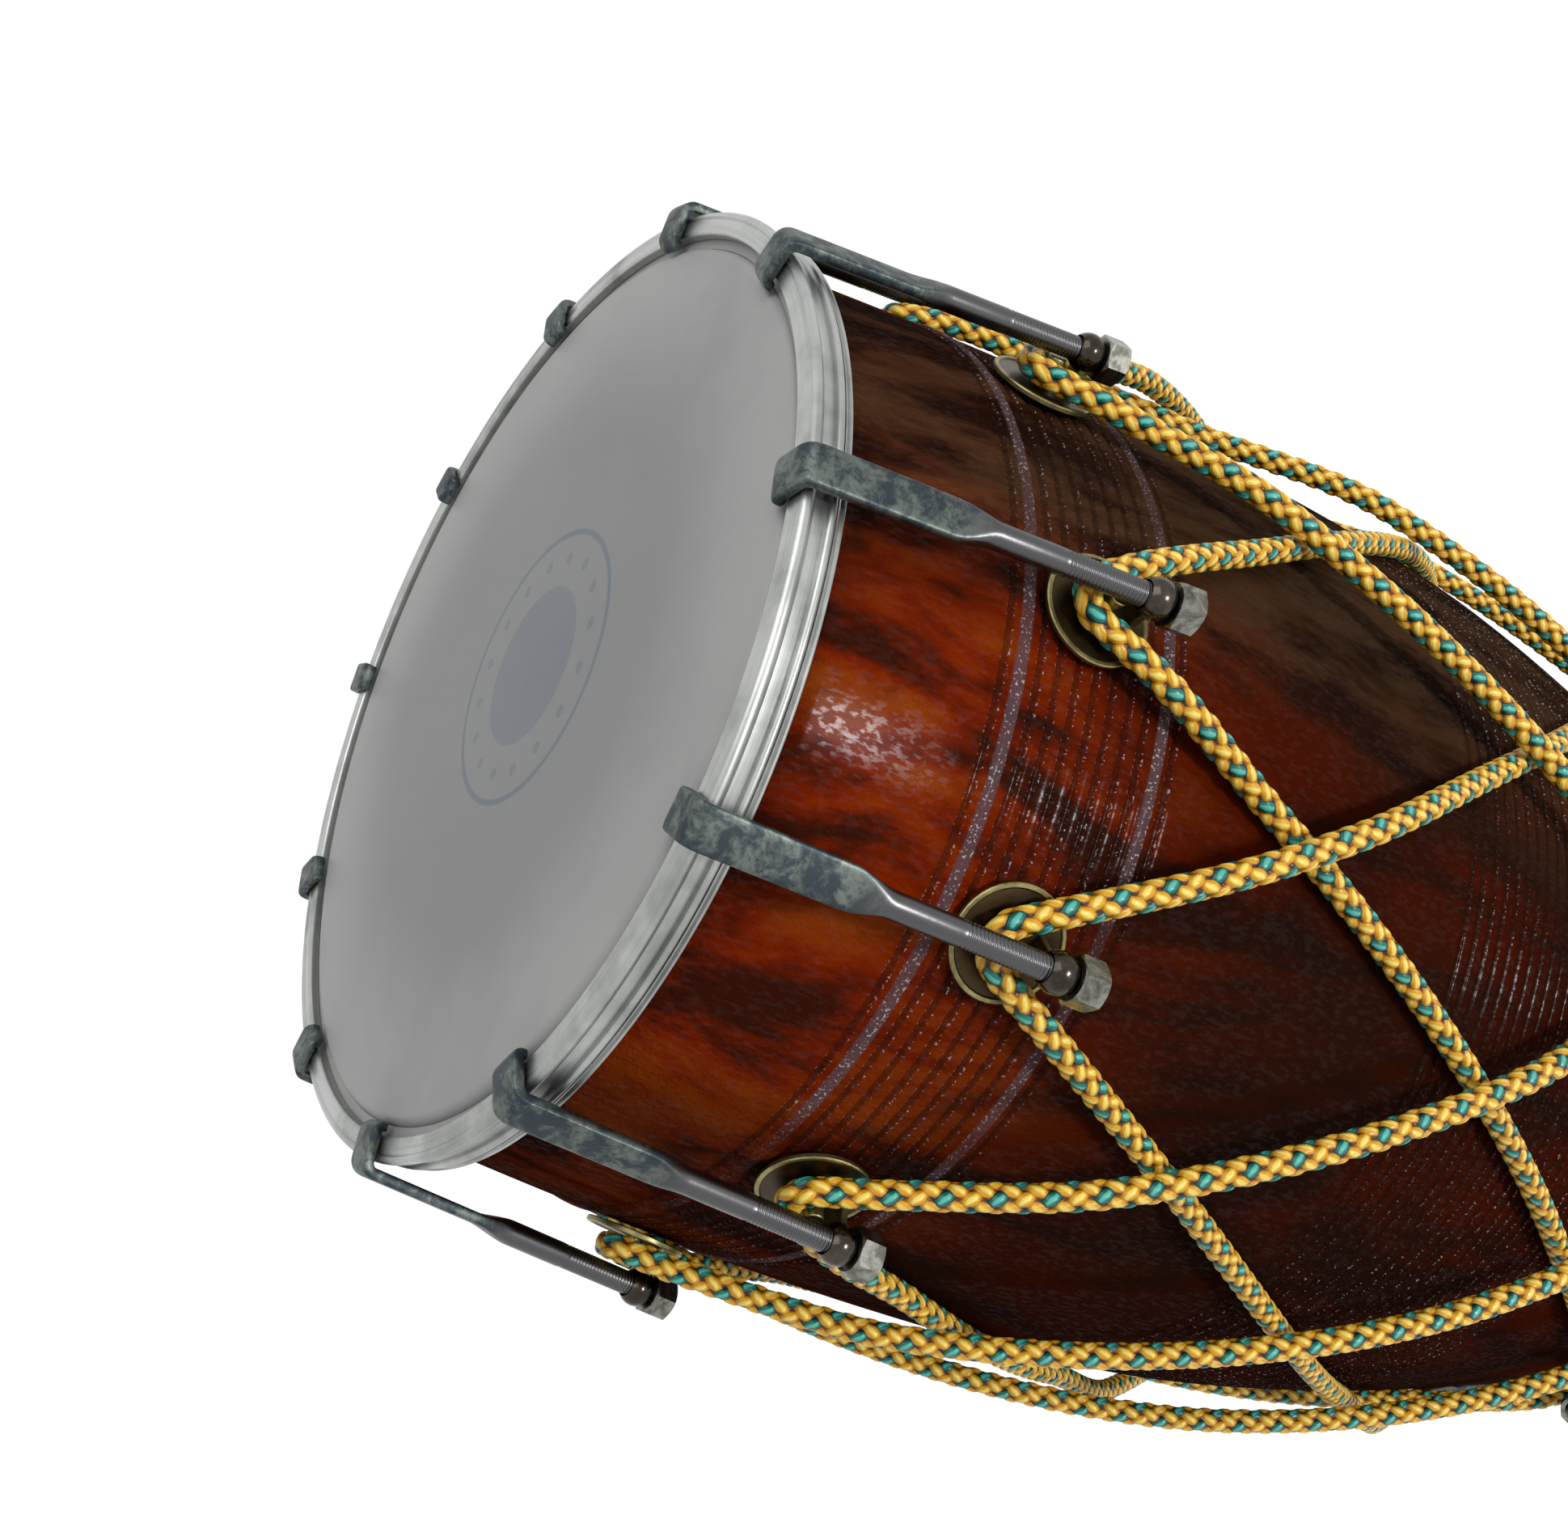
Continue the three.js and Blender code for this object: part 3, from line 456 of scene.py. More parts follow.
class Wire:
    """A shader socket that carries a number: Python's operators on it add Math nodes."""

    def __init__(self, shader, socket):
        self.shader = shader
        self.socket = socket

    def math(self, operation, *values):
        return self.shader.add("Math", {"operation": operation}, values)

    def __add__(self, other):
        return self.math("ADD", self, other)

    __radd__ = __add__

    def __sub__(self, other):
        return self.math("SUBTRACT", self, other)

    def __rsub__(self, other):
        return self.math("SUBTRACT", other, self)

    def __mul__(self, other):
        return self.math("MULTIPLY", self, other)

    __rmul__ = __mul__

    def __truediv__(self, other):
        return self.math("DIVIDE", self, other)

    def __rtruediv__(self, other):
        return self.math("DIVIDE", other, self)

    def __neg__(self):
        return self * -1

    def __abs__(self):
        return self.math("ABSOLUTE", self)

    def __lt__(self, other):
        return self.math("LESS_THAN", self, other)

    def __gt__(self, other):
        return self.math("GREATER_THAN", self, other)

    def floor(self):
        return self.math("FLOOR", self)

    def sine(self):
        return self.math("SINE", self)

    def cosine(self):
        return self.math("COSINE", self)

    def root(self):
        return self.math("SQRT", self)

    def most(self, other):
        return self.math("MAXIMUM", self, other)

    def span(self, other):
        """Length of the line whose two parts are these."""
        return (self * self + other * other).root()

    def smooth(self, low, high):
        """0 below `low`, 1 above `high`, and a smooth step between them."""
        settings = {"interpolation_type": "SMOOTHSTEP"}
        values = {"Value": self, "From Min": low, "From Max": high}
        return self.shader.add("MapRange", settings, values)


class Shader:
    """The nodes of a new material or world, made by one method."""

    def __init__(self, name, kind="materials"):
        self.owner = getattr(bpy.data, kind).new(name)
        self.owner.use_nodes = True
        self.tree = self.owner.node_tree

    def add(self, kind, settings=None, values=(), output=None):
        """A node of a type, its settings first, then the values or links of its sockets."""
        node = self.tree.nodes.new("ShaderNode" + kind)
        for key, value in (settings or {}).items():
            setattr(node, key, value)
        if not isinstance(values, dict):
            values = dict(enumerate(values))
        for key, value in values.items():
            self.feed(self.find(node.inputs, key), value)
        outputs = [socket for socket in node.outputs if socket.enabled]
        found = next(s for s in outputs if output is None or s.name == output)
        return Wire(self, found)

    @staticmethod
    def find(sockets, key):
        if isinstance(key, int):
            return sockets[key]
        return next(s for s in sockets if s.enabled and s.name == key)

    def feed(self, socket, value):
        if isinstance(value, Wire):
            self.tree.links.new(value.socket, socket)
        elif socket.type == "RGBA":
            socket.default_value = (*value, 1)
        else:
            socket.default_value = value

    def finish(self, **values):
        """Sets or links the Principled shader's sockets, given with _ for each space."""
        for key, value in values.items():
            self.feed(self.tree.nodes["Principled BSDF"].inputs[key.replace("_", " ")], value)
        return self.owner

    def position(self):
        return self.add("TexCoord", output="Object")

    def parts(self, vector):
        split = self.add("SeparateXYZ", values=(vector,)).socket.node
        return [Wire(self, socket) for socket in split.outputs]

    def scaled(self, vector, factors):
        return self.add("VectorMath", {"operation": "MULTIPLY"}, (vector, factors))

    def moved(self, vector, offset):
        return self.add("VectorMath", {"operation": "ADD"}, (vector, offset))

    def attribute(self, name):
        return self.add("Attribute", {"attribute_name": name}, output="Fac")

    def noise(self, vector, scale, detail, roughness=0.5, distortion=0.0):
        values = {
            "Vector": vector, "Scale": scale, "Detail": detail, "Roughness": roughness,
            "Distortion": distortion,
        }
        return self.add("TexNoise", values=values)

    def mix(self, factor, low, high):
        return self.add("Mix", {"data_type": "RGBA"}, {"Factor": factor, "A": low, "B": high})

    def layers(self, base, *coats):
        """A colour with others laid over it in turn, each given after its share."""
        for share_of_coat, coat in coats:
            base = self.mix(share_of_coat, base, coat)
        return base

    def bump(self, height, strength, distance):
        values = {"Height": height, "Strength": strength, "Distance": distance}
        return self.add("Bump", values=values)

    def rings(self, scale, round_scale):
        """Coordinates in which a noise becomes fine lines running round the drum's axis."""
        x, y, z = self.parts(self.position())
        turn = y.math("ARCTAN2", y, x)
        return self.add("CombineXYZ", values=(x.span(y) * scale, z * scale, turn * round_scale))


# Finishes

def lacquered_wood(shell):
    """Red-stained figured wood under a gloss lacquer, with painted shade in the turned lines and
    on the ±X sides, and painted glints on the rings and line edges.
    """
    shader = Shader("lacquered_wood")
    where = shader.position()
    x, y, z = shader.parts(where)
    # The grain: a noise drawn out along the drum and bent by a slower one
    warp = shader.noise(shader.scaled(where, (1, 1, 0.5)), 6, 3)
    warp = Wire(shader, warp.socket.node.outputs["Color"])
    swirl = shader.moved(
        shader.scaled(where, (1, 1, 0.20)), shader.scaled(warp, (0.10, 0.10, 0.045))
    )
    figure = shader.noise(swirl, 42, 5, 0.62)
    vein = 1 - abs(shader.noise(swirl, 15, 3, 0.5) - 0.5).smooth(0.0, 0.03)
    clouds = shader.noise(shader.scaled(where, (1, 1, 0.6)), 7.5, 3, 0.6, 0.4)
    pores = shader.noise(shader.scaled(where, (1, 1, 0.05)), 480, 3, 0.6)
    # Bright near the hoops; brown wood and painted shade on the +X side, painted shade on the -X
    # side
    ends = (abs(z - MIDDLE) + (clouds - 0.5) * 0.08).smooth(0.15, 0.30)
    shaded_plus_x = (x + (clouds - 0.5) * 0.07).smooth(0.035, 0.095)
    shaded_plus_x = shaded_plus_x * (1 - (y + (clouds - 0.5) * 0.10).smooth(0.0, 0.07))
    shaded_minus_x = (clouds * 0.06 - x).smooth(0.10, 0.17)
    wood = shader.layers(
        shell.red,
        (ends, shell.bright),
        (ends * (1 - figure.smooth(0.36, 0.52)) * 0.8, shell.orange),
        (figure.smooth(0.47, 0.62) * 0.85, shell.dark),
        (vein * clouds.smooth(0.42, 0.60) * 0.7, shell.dark),
        (clouds.smooth(0.44, 0.66) * (0.8 - ends * 0.45), shell.dark),
        (shaded_minus_x * (0.55 - ends * 0.2), shell.dark),
        (shaded_plus_x * 0.9, shader.mix(figure.smooth(0.42, 0.62), shell.shaded_brown, shell.dark)),
        (pores.smooth(0.55, 0.75) * 0.35, shell.dark),
    )
    # Painted shade darkens the turned lines, painted glints speck their edges and the raised
    # rings, and a bloom lies on the raised rings
    turning = shader.attribute("turning")
    groove = turning.smooth(0.10, 0.90)
    edge = turning.smooth(0.02, 0.20) - groove
    ring = (-turning).smooth(0.15, 0.60)
    specks = shader.noise(where, 1100, 1, 0.5).smooth(0.60, 0.68)
    patches = 1 - clouds.smooth(0.46, 0.62)
    wood = shader.layers(
        wood,
        (groove * 0.5, shell.dark),
        (ring * patches * 0.8, shell.ring),
        (specks * patches * (ring + edge) * 0.6, shell.painted_sparkle),
    )
    # A thin coat in specks breaks the lamp's reflection into a sparkling glint
    peel = shader.noise(where, 760, 2, 0.55)
    ripple = shader.noise(where, 110, 2, 0.5)
    gloss = shader.noise(shader.scaled(where, (1, 1, 0.4)), 620, 2, 0.6).smooth(0.48, 0.64)
    return shader.finish(
        Base_Color=wood,
        Roughness=0.45 + pores * 0.10,
        Specular_IOR_Level=0.0,
        Coat_Weight=0.003 + gloss * 0.020,
        Coat_Roughness=0.16,
        Coat_IOR=3.0,
        Normal=shader.bump(peel + ripple * 1.2 + pores * 0.35, 0.55, 0.0010),
    )


def coated_film(head, printed):
    """Grey coated film with faint smudges, painted light towards its rim and, on the treble
    head, a plain printed ring.
    """
    shader = Shader("printed_film" if printed else "plain_film")
    where = shader.position()
    smudge = shader.noise(where, 9, 4, 0.6)
    speckle = shader.noise(where, 900, 2, 0.5)
    x, y, _ = shader.parts(where)
    smudged = [0.88 * value for value in head.film]
    film = shader.layers(
        head.film,
        # Painted light lightens the film towards its rim
        (x.span(y).smooth(0.085, 0.150), head.edge),
        (smudge.smooth(0.42, 0.72) * 0.45, smudged),
    )
    if printed:
        across = x - head.print_place.x
        along = y - head.print_place.y
        radius = across.span(along)
        line = 1 - abs(radius - head.print_radius).smooth(head.print_line, head.print_line * 2)
        disc = 1 - radius.smooth(head.print_disc - 0.001, head.print_disc)
        turn = along.math("ARCTAN2", along, across)
        pitch = math.tau / head.print_dots
        near = turn / pitch - (turn / pitch + 0.5).floor()
        middle = (head.print_radius + head.print_disc) / 2
        apart = (radius - middle).span(near * pitch * middle)
        dots = 1 - apart.smooth(head.print_dot_radius * 0.8, head.print_dot_radius)
        fade = 0.62 + smudge * 0.5
        film = shader.layers(
            film, (disc * 0.62 * fade, head.ink), (line.most(dots * 0.7) * 0.9 * fade, head.ink)
        )
    return shader.finish(
        Base_Color=film,
        Roughness=0.42 + smudge * 0.12,
        Specular_IOR_Level=0.35,
        Normal=shader.bump(speckle, 0.10, 0.0002),
    )


def lathed_aluminium(hoop):
    """Aluminium with fine turning lines and dull stains."""
    shader = Shader("lathed_aluminium")
    where = shader.position()
    lines = shader.noise(shader.rings(1500, 3), 1, 3, 0.6)
    stains = shader.noise(where, 26, 4, 0.65)
    metal = shader.layers(
        hoop.metal,
        (stains.smooth(0.40, 0.68) * 0.7, hoop.worn),
        (lines.smooth(0.45, 0.75) * 0.35, hoop.worn),
    )
    return shader.finish(
        Base_Color=metal,
        Metallic=1.0,
        Roughness=0.24 + stains * 0.16 + lines * 0.08,
        Normal=shader.bump(lines, 0.12, 0.0002),
    )


def mottled_metal(name, bright, dull, grain, roughness, share_of_stain, dish_shade=None):
    """Plated steel with cloudy stains and small scratches, and painted shade inside a plate's
    rim.
    """
    shader = Shader(name)
    where = shader.position()
    clouds = shader.noise(where, grain, 4, 0.65, 0.6)
    specks = shader.noise(where, grain * 9, 3, 0.6)
    stained = clouds.smooth(0.38, 0.68) * share_of_stain
    metal = shader.layers(bright, (stained, dull), (specks.smooth(0.56, 0.76) * 0.35, dull))
    if dish_shade:
        metal = shader.mix(shader.attribute("dished") * (0.95 - stained * 0.2), metal, dish_shade)
    return shader.finish(
        Base_Color=metal,
        Metallic=1.0,
        Roughness=roughness + clouds * 0.15,
        Normal=shader.bump(specks, 0.10, 0.0002),
    )


def hook_zinc(hook):
    """Dull mottled zinc on the blade, rubbed bright on the rod and its thread."""
    shader = Shader("hook_zinc")
    where = shader.position()
    clouds = shader.noise(where, 120, 5, 0.70, 0.3)
    specks = shader.noise(where, 520, 3, 0.6)
    rubbed = shader.attribute("rubbed")
    metal = shader.layers(
        hook.zinc,
        (clouds.smooth(0.40, 0.58) * 0.95, hook.stain),
        (specks.smooth(0.46, 0.68) * 0.55, hook.stain),
        (rubbed, hook.shine),
    )
    return shader.finish(
        Base_Color=metal,
        Metallic=1.0,
        Roughness=0.42 - rubbed * 0.17 + clouds * 0.12,
        Normal=shader.bump(specks, 0.14, 0.0002),
    )


def braided_yarn(lacing):
    """Gold braid with green tracer strands, painted highlights on their crests and painted shade
    in their hollows; the UV map holds the braid's own coordinates.
    """
    shader = Shader("braided_yarn")
    along, round_rope, _ = shader.parts(shader.add("TexCoord", output="UV"))
    along = along - (along * (4 * math.pi)).sine() * (BRAID_LAY / (4 * math.pi))
    ways = []
    for course, other, sign in (
        (round_rope + along, round_rope - along, 1),
        (round_rope - along, round_rope + along, -1),
    ):
        whole = course.floor()
        across = course - whole - 0.5
        back = 1 - across * across * BRAID_ROUND
        over = (other * math.pi).sine() * (whole * math.pi).cosine() * sign
        over = over * (1.5 - over * over * 0.5)
        height = back.most(0).root() + over * BRAID_OVER
        crest = back * (over * 0.5 + 0.5)
        # Painted highlight: a sheen along the middle of each stitch
        sheen = (1 - across * across * 16) * over.smooth(-0.30, 0.60)
        ways.append((height, whole, crest, sheen, across))
    first, second = ways
    first_on_top = first[0] > second[0]
    height = first[0].most(second[0])
    crest, sheen, across = (
        low + (high - low) * first_on_top for high, low in zip(first[2:], second[2:])
    )
    # Every other strand of the first way is green
    even = 1 - abs((first[1] * (math.pi / 2)).sine())
    tracer = first_on_top * (even > 0.5)
    fibres = (across * 34 + shader.noise(shader.position(), 700, 2) * 5).sine()
    # Painted shade in the hollows and towards the strands' edges, and painted highlights on
    # their crests, for the gold and the green yarn
    gold = shader.layers(
        lacing.pit_shade,
        (height.smooth(0.20, 0.60), lacing.shade),
        (height.smooth(0.60, 1.00), lacing.gold),
        (sheen.smooth(0.30, 1.0) * (0.75 + fibres * 0.15), lacing.light),
    )
    teal = shader.layers(
        lacing.teal_shade,
        (crest.smooth(0.05, 0.70), lacing.teal),
        (sheen.smooth(0.50, 1.0) * 0.7, lacing.teal_highlight),
    )
    return shader.finish(
        Base_Color=shader.mix(tracer, gold, teal),
        Roughness=0.36 + fibres * 0.05,
        Specular_IOR_Level=0.35,
        Normal=shader.bump(height + fibres * 0.02, 0.5, 0.0012),
    )


# Shell

def neck_height(shell):
    """Height above the belly at which the barrel ends and the collar's slope begins."""
    return HALF_LENGTH - shell.hoop_clearance + COLLAR_GAP - shell.shoulder


def barrel_radius(shell, height):
    """Outside radius of the shell at a height above or below its belly."""
    reach = min(abs(height) / neck_height(shell), 1)
    return BELLY_RADIUS - shell.bulge * reach ** shell.barrel_power


def turned_lines(shell):
    """Heights of the raised rings and of the fine lines, measured from the belly."""
    top = HALF_LENGTH - shell.band_depth
    rings = [top, top - shell.band_width]
    beside = shell.ring_half_width * 2
    lines = [rings[0] + beside, rings[1] - beside]
    gaps = int(shell.band_width / shell.groove_pitch)
    lines += [rings[0] - shell.groove_pitch * step for step in range(1, gaps)]
    belly_gaps = int(shell.belly_half_width / shell.groove_pitch)
    lines += [shell.groove_pitch * (step + 0.5) for step in range(belly_gaps)]
    both = [sign * height for height in lines for sign in (1, -1)]
    return [sign * height for height in rings for sign in (1, -1)], both


def shell_relief(shell, height, rings, lines):
    """How far the surface stands out, and how far it is in a line (1) or on a ring (-1)."""
    ring = max(0, *(1 - ((height - spot) / shell.ring_half_width) ** 2 for spot in rings))
    groove = max(0, *(1 - ((height - spot) / shell.groove_half_width) ** 2 for spot in lines))
    return shell.ring_height * ring - shell.groove_depth * groove, groove - ring


def shell_outline(shell, rings, lines):
    """The barrel with its relief, each collar's rounded edge and the bore."""
    half = neck_height(shell)
    strips = math.ceil(2 * half / shell.spans)
    heights = [half - 2 * half * step / strips for step in range(strips + 1)]
    cuts = (-1, -0.6, -0.3, 0, 0.3, 0.6, 1)
    heights += [ring + cut * shell.ring_half_width for ring in rings for cut in cuts]
    heights += [line + cut * shell.groove_half_width for line in lines for cut in cuts]
    heights.sort(reverse=True)
    outside = []
    for height in heights:
        relief, _ = shell_relief(shell, height, rings, lines)
        outside.append((barrel_radius(shell, height) + relief, height))
    collar = barrel_radius(shell, half) - shell.neck_step
    edge_top = HALF_LENGTH - shell.edge_depth
    middle_of_round = (collar - shell.edge_round, edge_top - shell.edge_round)
    edge = arc(middle_of_round, shell.edge_round, 110, 0, 8)
    foot = (collar, HALF_LENGTH - shell.hoop_clearance)
    bore_top = (collar - shell.wall, edge_top - shell.wall)
    bore = []
    bore_steps = 8
    for step in range(bore_steps + 1):
        height = (half - shell.wall) * (1 - step / bore_steps)
        bore.append((barrel_radius(shell, height) - shell.wall, height))
    inside = [bore_top, *bore]
    upper_edge = [*edge, foot]
    lower_edge = [(radius, -height) for radius, height in reversed(upper_edge)]
    lower_inside = [(radius, -height) for radius, height in inside]
    return [*upper_edge, *outside, *lower_edge, *lower_inside, *reversed(inside[:-1])]


class DRUM_OT_shell(bpy.types.Operator):
    """Turn the wooden shell with its raised rings and fine lines"""

    bl_idname = "drum.shell"
    bl_label = "Shell"

    def execute(self, context):
        shell = context.scene.drum_shell
        rings, lines = turned_lines(shell)
        bm = turned(shell_outline(shell, rings, lines), shell.steps)
        turning = bm.verts.layers.float.new("turning")
        inner = barrel_radius(shell, HALF_LENGTH) - shell.neck_step - shell.wall / 2
        for vert in bm.verts:
            depth = shell_relief(shell, vert.co.z, rings, lines)[1]
            outside = math.hypot(vert.co.x, vert.co.y) > inner
            vert[turning] = depth if outside else 0
        middle = Matrix.Translation((0, 0, MIDDLE))
        finish = lacquered_wood(shell)
        add_piece("turned_shell", bm, middle, "drum", finish, ["shell"], 50)
        bm.free()
        return {"FINISHED"}


# Heads and hoops

def head_outline(head):
    """From the film's middle, over its rounded edge and the flesh hoop, and back inside."""
    edge = head.skirt_radius - head.film_round
    film = -head.film_drop
    under = film - head.film_wall
    inside = head.skirt_radius - head.skirt_wall
    foot = -head.flesh_top - head.flesh_height
    rim = head.skirt_radius + head.flesh_width
    inner_round = head.film_round - head.skirt_wall
    fillet = head.flesh_height / 4
    film_steps = 8
    return [
        (0, film),
        *[(edge * step / film_steps, film) for step in range(1, film_steps)],
        *arc((edge, film - head.film_round), head.film_round, 90, 0, 8),
        (head.skirt_radius, -head.flesh_top),
        *arc((rim - fillet, -head.flesh_top - fillet), fillet, 90, 0, 4),
        *arc((rim - fillet, foot + fillet), fillet, 0, -90, 4),
        (inside, foot),
        *arc((edge, under - inner_round), inner_round, 0, 90, 6),
        (0, under),
    ]


def hoop_outline(hoop):
    """Inward lip, rounded bead, plain band, half-round rib and a thin bright foot.

    The rolled profile is drawn in steps of a twentieth of the lip's reach.
    """
    outer = hoop.radius
    inner = outer - hoop.lip_reach
    wall = outer - hoop.wall
    foot = -hoop.height
    fine = hoop.lip_reach / 20
    bead = fine * 5
    rib = fine * 3
    band = outer - fine * 4
    rib_middle = foot * 0.72
    return [
        (wall, foot),
        *arc((outer - fine * 2, foot + fine), fine, -90, 0, 3),
        (outer - fine, foot + fine * 2.4),
        (outer - fine * 2.2, foot + fine * 3),
        (outer - fine * 1.2, foot + fine * 6),
        (outer - fine * 2.6, rib_middle - rib * 1.05),
        *arc((outer - rib, rib_middle), rib, -75, 75, 6),
        (outer - fine * 4.4, rib_middle + rib * 1.15),
        (band, rib_middle + rib * 1.6),
        (band, -bead * 2.0 - fine),
        (outer - fine * 2.6, -bead * 1.9),
        *arc((outer - bead, -bead), bead, -20, 90, 7),
        (outer - bead * 1.3, -fine * 1.3),
        (outer - bead * 1.6, -fine * 0.4),
        *arc((inner + fine * 3, -fine * 3), fine * 3, 96, 180, 5),
        (inner, -hoop.lip_thick),
        (wall, -hoop.lip_thick),
    ]


class DRUM_OT_heads(bpy.types.Operator):
    """Stretch a plastic head over each end"""

    bl_idname = "drum.heads"
    bl_label = "Heads"

    def execute(self, context):
        head = context.scene.drum_head
        bm = turned(head_outline(head), head.steps)
        for side, node in ((1, "treble_head"), (-1, "bass_head_and_hoop")):
            finish = coated_film(head, side > 0)
            name = f"{END_NAMES[side]}_film"
            spot = end_matrix(side, 0)
            add_piece(name, bm, spot, "drum", finish, [node], 50)
        bm.free()
        return {"FINISHED"}


class DRUM_OT_hoops(bpy.types.Operator):
    """Turn the two aluminium counterhoops"""

    bl_idname = "drum.hoops"
    bl_label = "Hoops"

    def execute(self, context):
        hoop = context.scene.drum_hoop
        bm = turned(hoop_outline(hoop), hoop.steps)
        finish = lathed_aluminium(hoop)
        for side, node in ((1, "treble_hoop"), (-1, "bass_head_and_hoop")):
            name = f"{END_NAMES[side]}_counterhoop"
            spot = end_matrix(side, 0)
            add_piece(name, bm, spot, "drum", finish, [node], 40)
        bm.free()
        return {"FINISHED"}


# Hooks

def bar_section(at, along, width, thick, power):
    """A ring across a bar in the radial plane: round at power 2, squarer as it grows."""
    across = Vector((-along.z, 0, along.x))

    def squared(value):
        return math.copysign(abs(value) ** (2 / power), value)

    def point(turn):
        wide = squared(math.cos(turn)) * width / 2
        return at + Vector((0, wide, 0)) + across * (squared(math.sin(turn)) * thick / 2)

    return point


def thread_section(hook, up, at, reach):
    """A ring across the threaded rod, whose radius follows the helix."""
    across = Vector((up.z, 0, -up.x))

    def point(turn):
        phase = (reach / hook.thread_pitch - turn / math.tau) % 1
        crest = 1 - abs(2 * phase - 1)
        radius = hook.rod_radius - hook.thread_depth * (1 - crest)
        return at + Vector((0, math.cos(turn) * radius, 0)) - across * (math.sin(turn) * radius)

    return point


def bent_path(corners, radii, steps):
    """Stations (place, heading) along a line in the radial plane with its corners rounded."""
    stations = [(corners[0], (corners[1] - corners[0]).normalized())]
    for before, corner, after, radius in zip(corners, corners[1:], corners[2:], radii):
        inward = (corner - before).normalized()
        outward = (after - corner).normalized()
        turn = inward.angle(outward)
        axis = inward.cross(outward).normalized()
        start = corner - inward * radius * math.tan(turn / 2)
        centre = start + axis.cross(inward) * radius
        for step in range(steps + 1):
            swing = Matrix.Rotation(turn * step / steps, 3, axis)
            stations.append((centre + swing @ (start - centre), swing @ inward))
    stations.append((corners[-1], (corners[-1] - corners[-2]).normalized()))
    return stations


def hook_blank(hook, hoop):
    """One hook rod in its end's frame, from the threaded end to the turned-down tip."""
    rod = rod_matrix()
    up = rod.to_3x3() @ Vector((0, 0, 1))

    def on_rod(reach):
        return rod @ Vector((0, 0, reach))

    diameter = 2 * hook.rod_radius
    start = diameter - 2 * hook.rod_chamfer
    sections = [bar_section(on_rod(-hook.rod_end), up, start, start, 2)]
    reach = hook.rod_chamfer - hook.rod_end
    rings_per_turn = 4
    while reach < hook.thread_end:
        sections.append(thread_section(hook, up, on_rod(reach), reach))
        reach += hook.thread_pitch / rings_per_turn
    run_out = hook.thread_end + hook.thread_pitch
    sections.append(bar_section(on_rod(run_out), up, diameter, diameter, 2))
    sections.append(bar_section(on_rod(hook.round_end), up, diameter, diameter, 2))
    spread_steps = 8
    for step in range(1, spread_steps + 1):
        grown = step / spread_steps
        ease = smoothstep(grown)
        at = on_rod(hook.round_end + (hook.spread_end - hook.round_end) * grown)
        width = diameter + (hook.blade_width - diameter) * ease
        thick = diameter + (hook.blade_thick - diameter) * ease
        power = 2 + (hook.blade_power - 2) * ease
        sections.append(bar_section(at, up, width, thick, power))
    top = hook.seat_gap + hook.blade_thick / 2
    tip_out = hoop.radius - hoop.lip_reach - hook.tip_gap - hook.tip_thick / 2
    corners = [
        on_rod(hook.spread_end),
        on_rod((top + BALL_DEPTH) / math.cos(ROD_TILT)),
        Vector((tip_out, 0, top)),
        Vector((tip_out, 0, -hook.tip_reach)),
    ]
    bend_steps = 6
    stations = bent_path(corners, (hook.hook_bend, hook.tip_bend), bend_steps)[1:]
    tip_steps = bend_steps + 1
    for step, (at, along) in enumerate(stations, tip_steps + 1 - len(stations)):
        near_tip = max(0, step) / tip_steps
        width = hook.blade_width + (hook.tip_width - hook.blade_width) * near_tip
        thick = hook.blade_thick + (hook.tip_thick - hook.blade_thick) * near_tip
        sections.append(bar_section(at, along, width, thick, hook.blade_power))
    bm = lofted(sections, hook.sides)
    rubbed = bm.verts.layers.float.new("rubbed")
    to_rod = rod.inverted()
    for vert in bm.verts:
        reach = (to_rod @ vert.co).z
        fade = (hook.spread_end - reach) / (hook.spread_end - hook.round_end)
        vert[rubbed] = min(1, max(0, fade))
    return bm


class DRUM_OT_hooks(bpy.types.Operator):
    """Forge the hook rods of both ends"""

    bl_idname = "drum.hooks"
    bl_label = "Hooks"

    def execute(self, context):
        hook = context.scene.drum_hook
        bm = hook_blank(hook, context.scene.drum_hoop)
        finish = hook_zinc(hook)
        for _, end, label, spot in every_hook():
            body = f"{end}_hook_{label}"
            name = f"{end}_hook_rod_{label}"
            add_piece(name, bm, spot, body, finish, [body], 70)
        bm.free()
        return {"FINISHED"}


# Saddles

def above_plate(saddle):
    """From a piece turned round the boss to the rod's frame, with z up the rod."""
    ahead = Matrix.Translation((0, 0, saddle.boss_ahead))
    return ahead @ Matrix.Rotation(math.pi / 2, 4, "Y")


def saddle_plate(saddle):
    """The round plate with its raised rim, its face towards the rod at x = -plate_top."""
    top = -saddle.plate_top
    bottom = top - saddle.plate_thick
    radius = saddle.plate_radius
    edge = saddle.plate_thick / 5
    inner = radius - saddle.rim_width
    outline = [
        (0, bottom),
        (radius - edge, bottom),
        (radius, bottom + edge),
        (radius, top - edge),
        (radius - edge, top),
        (inner, top),
        (inner - saddle.rim_height, top - saddle.rim_height),
        (0, top - saddle.rim_height),
    ]
    bm = turned(outline, saddle.steps)
    # Marks the dish inside the rim, which takes painted shade
    dished = bm.verts.layers.float.new("dished")
    for vert in bm.verts:
        vert[dished] = vert.co.z > bottom and vert.co.xy.length < inner
    bm.transform(above_plate(saddle))
    return bm


def saddle_foot(saddle):
    """Where the lug and the boss end, in the middle of the plate's thickness."""
    return -saddle.plate_top - saddle.plate_thick / 2


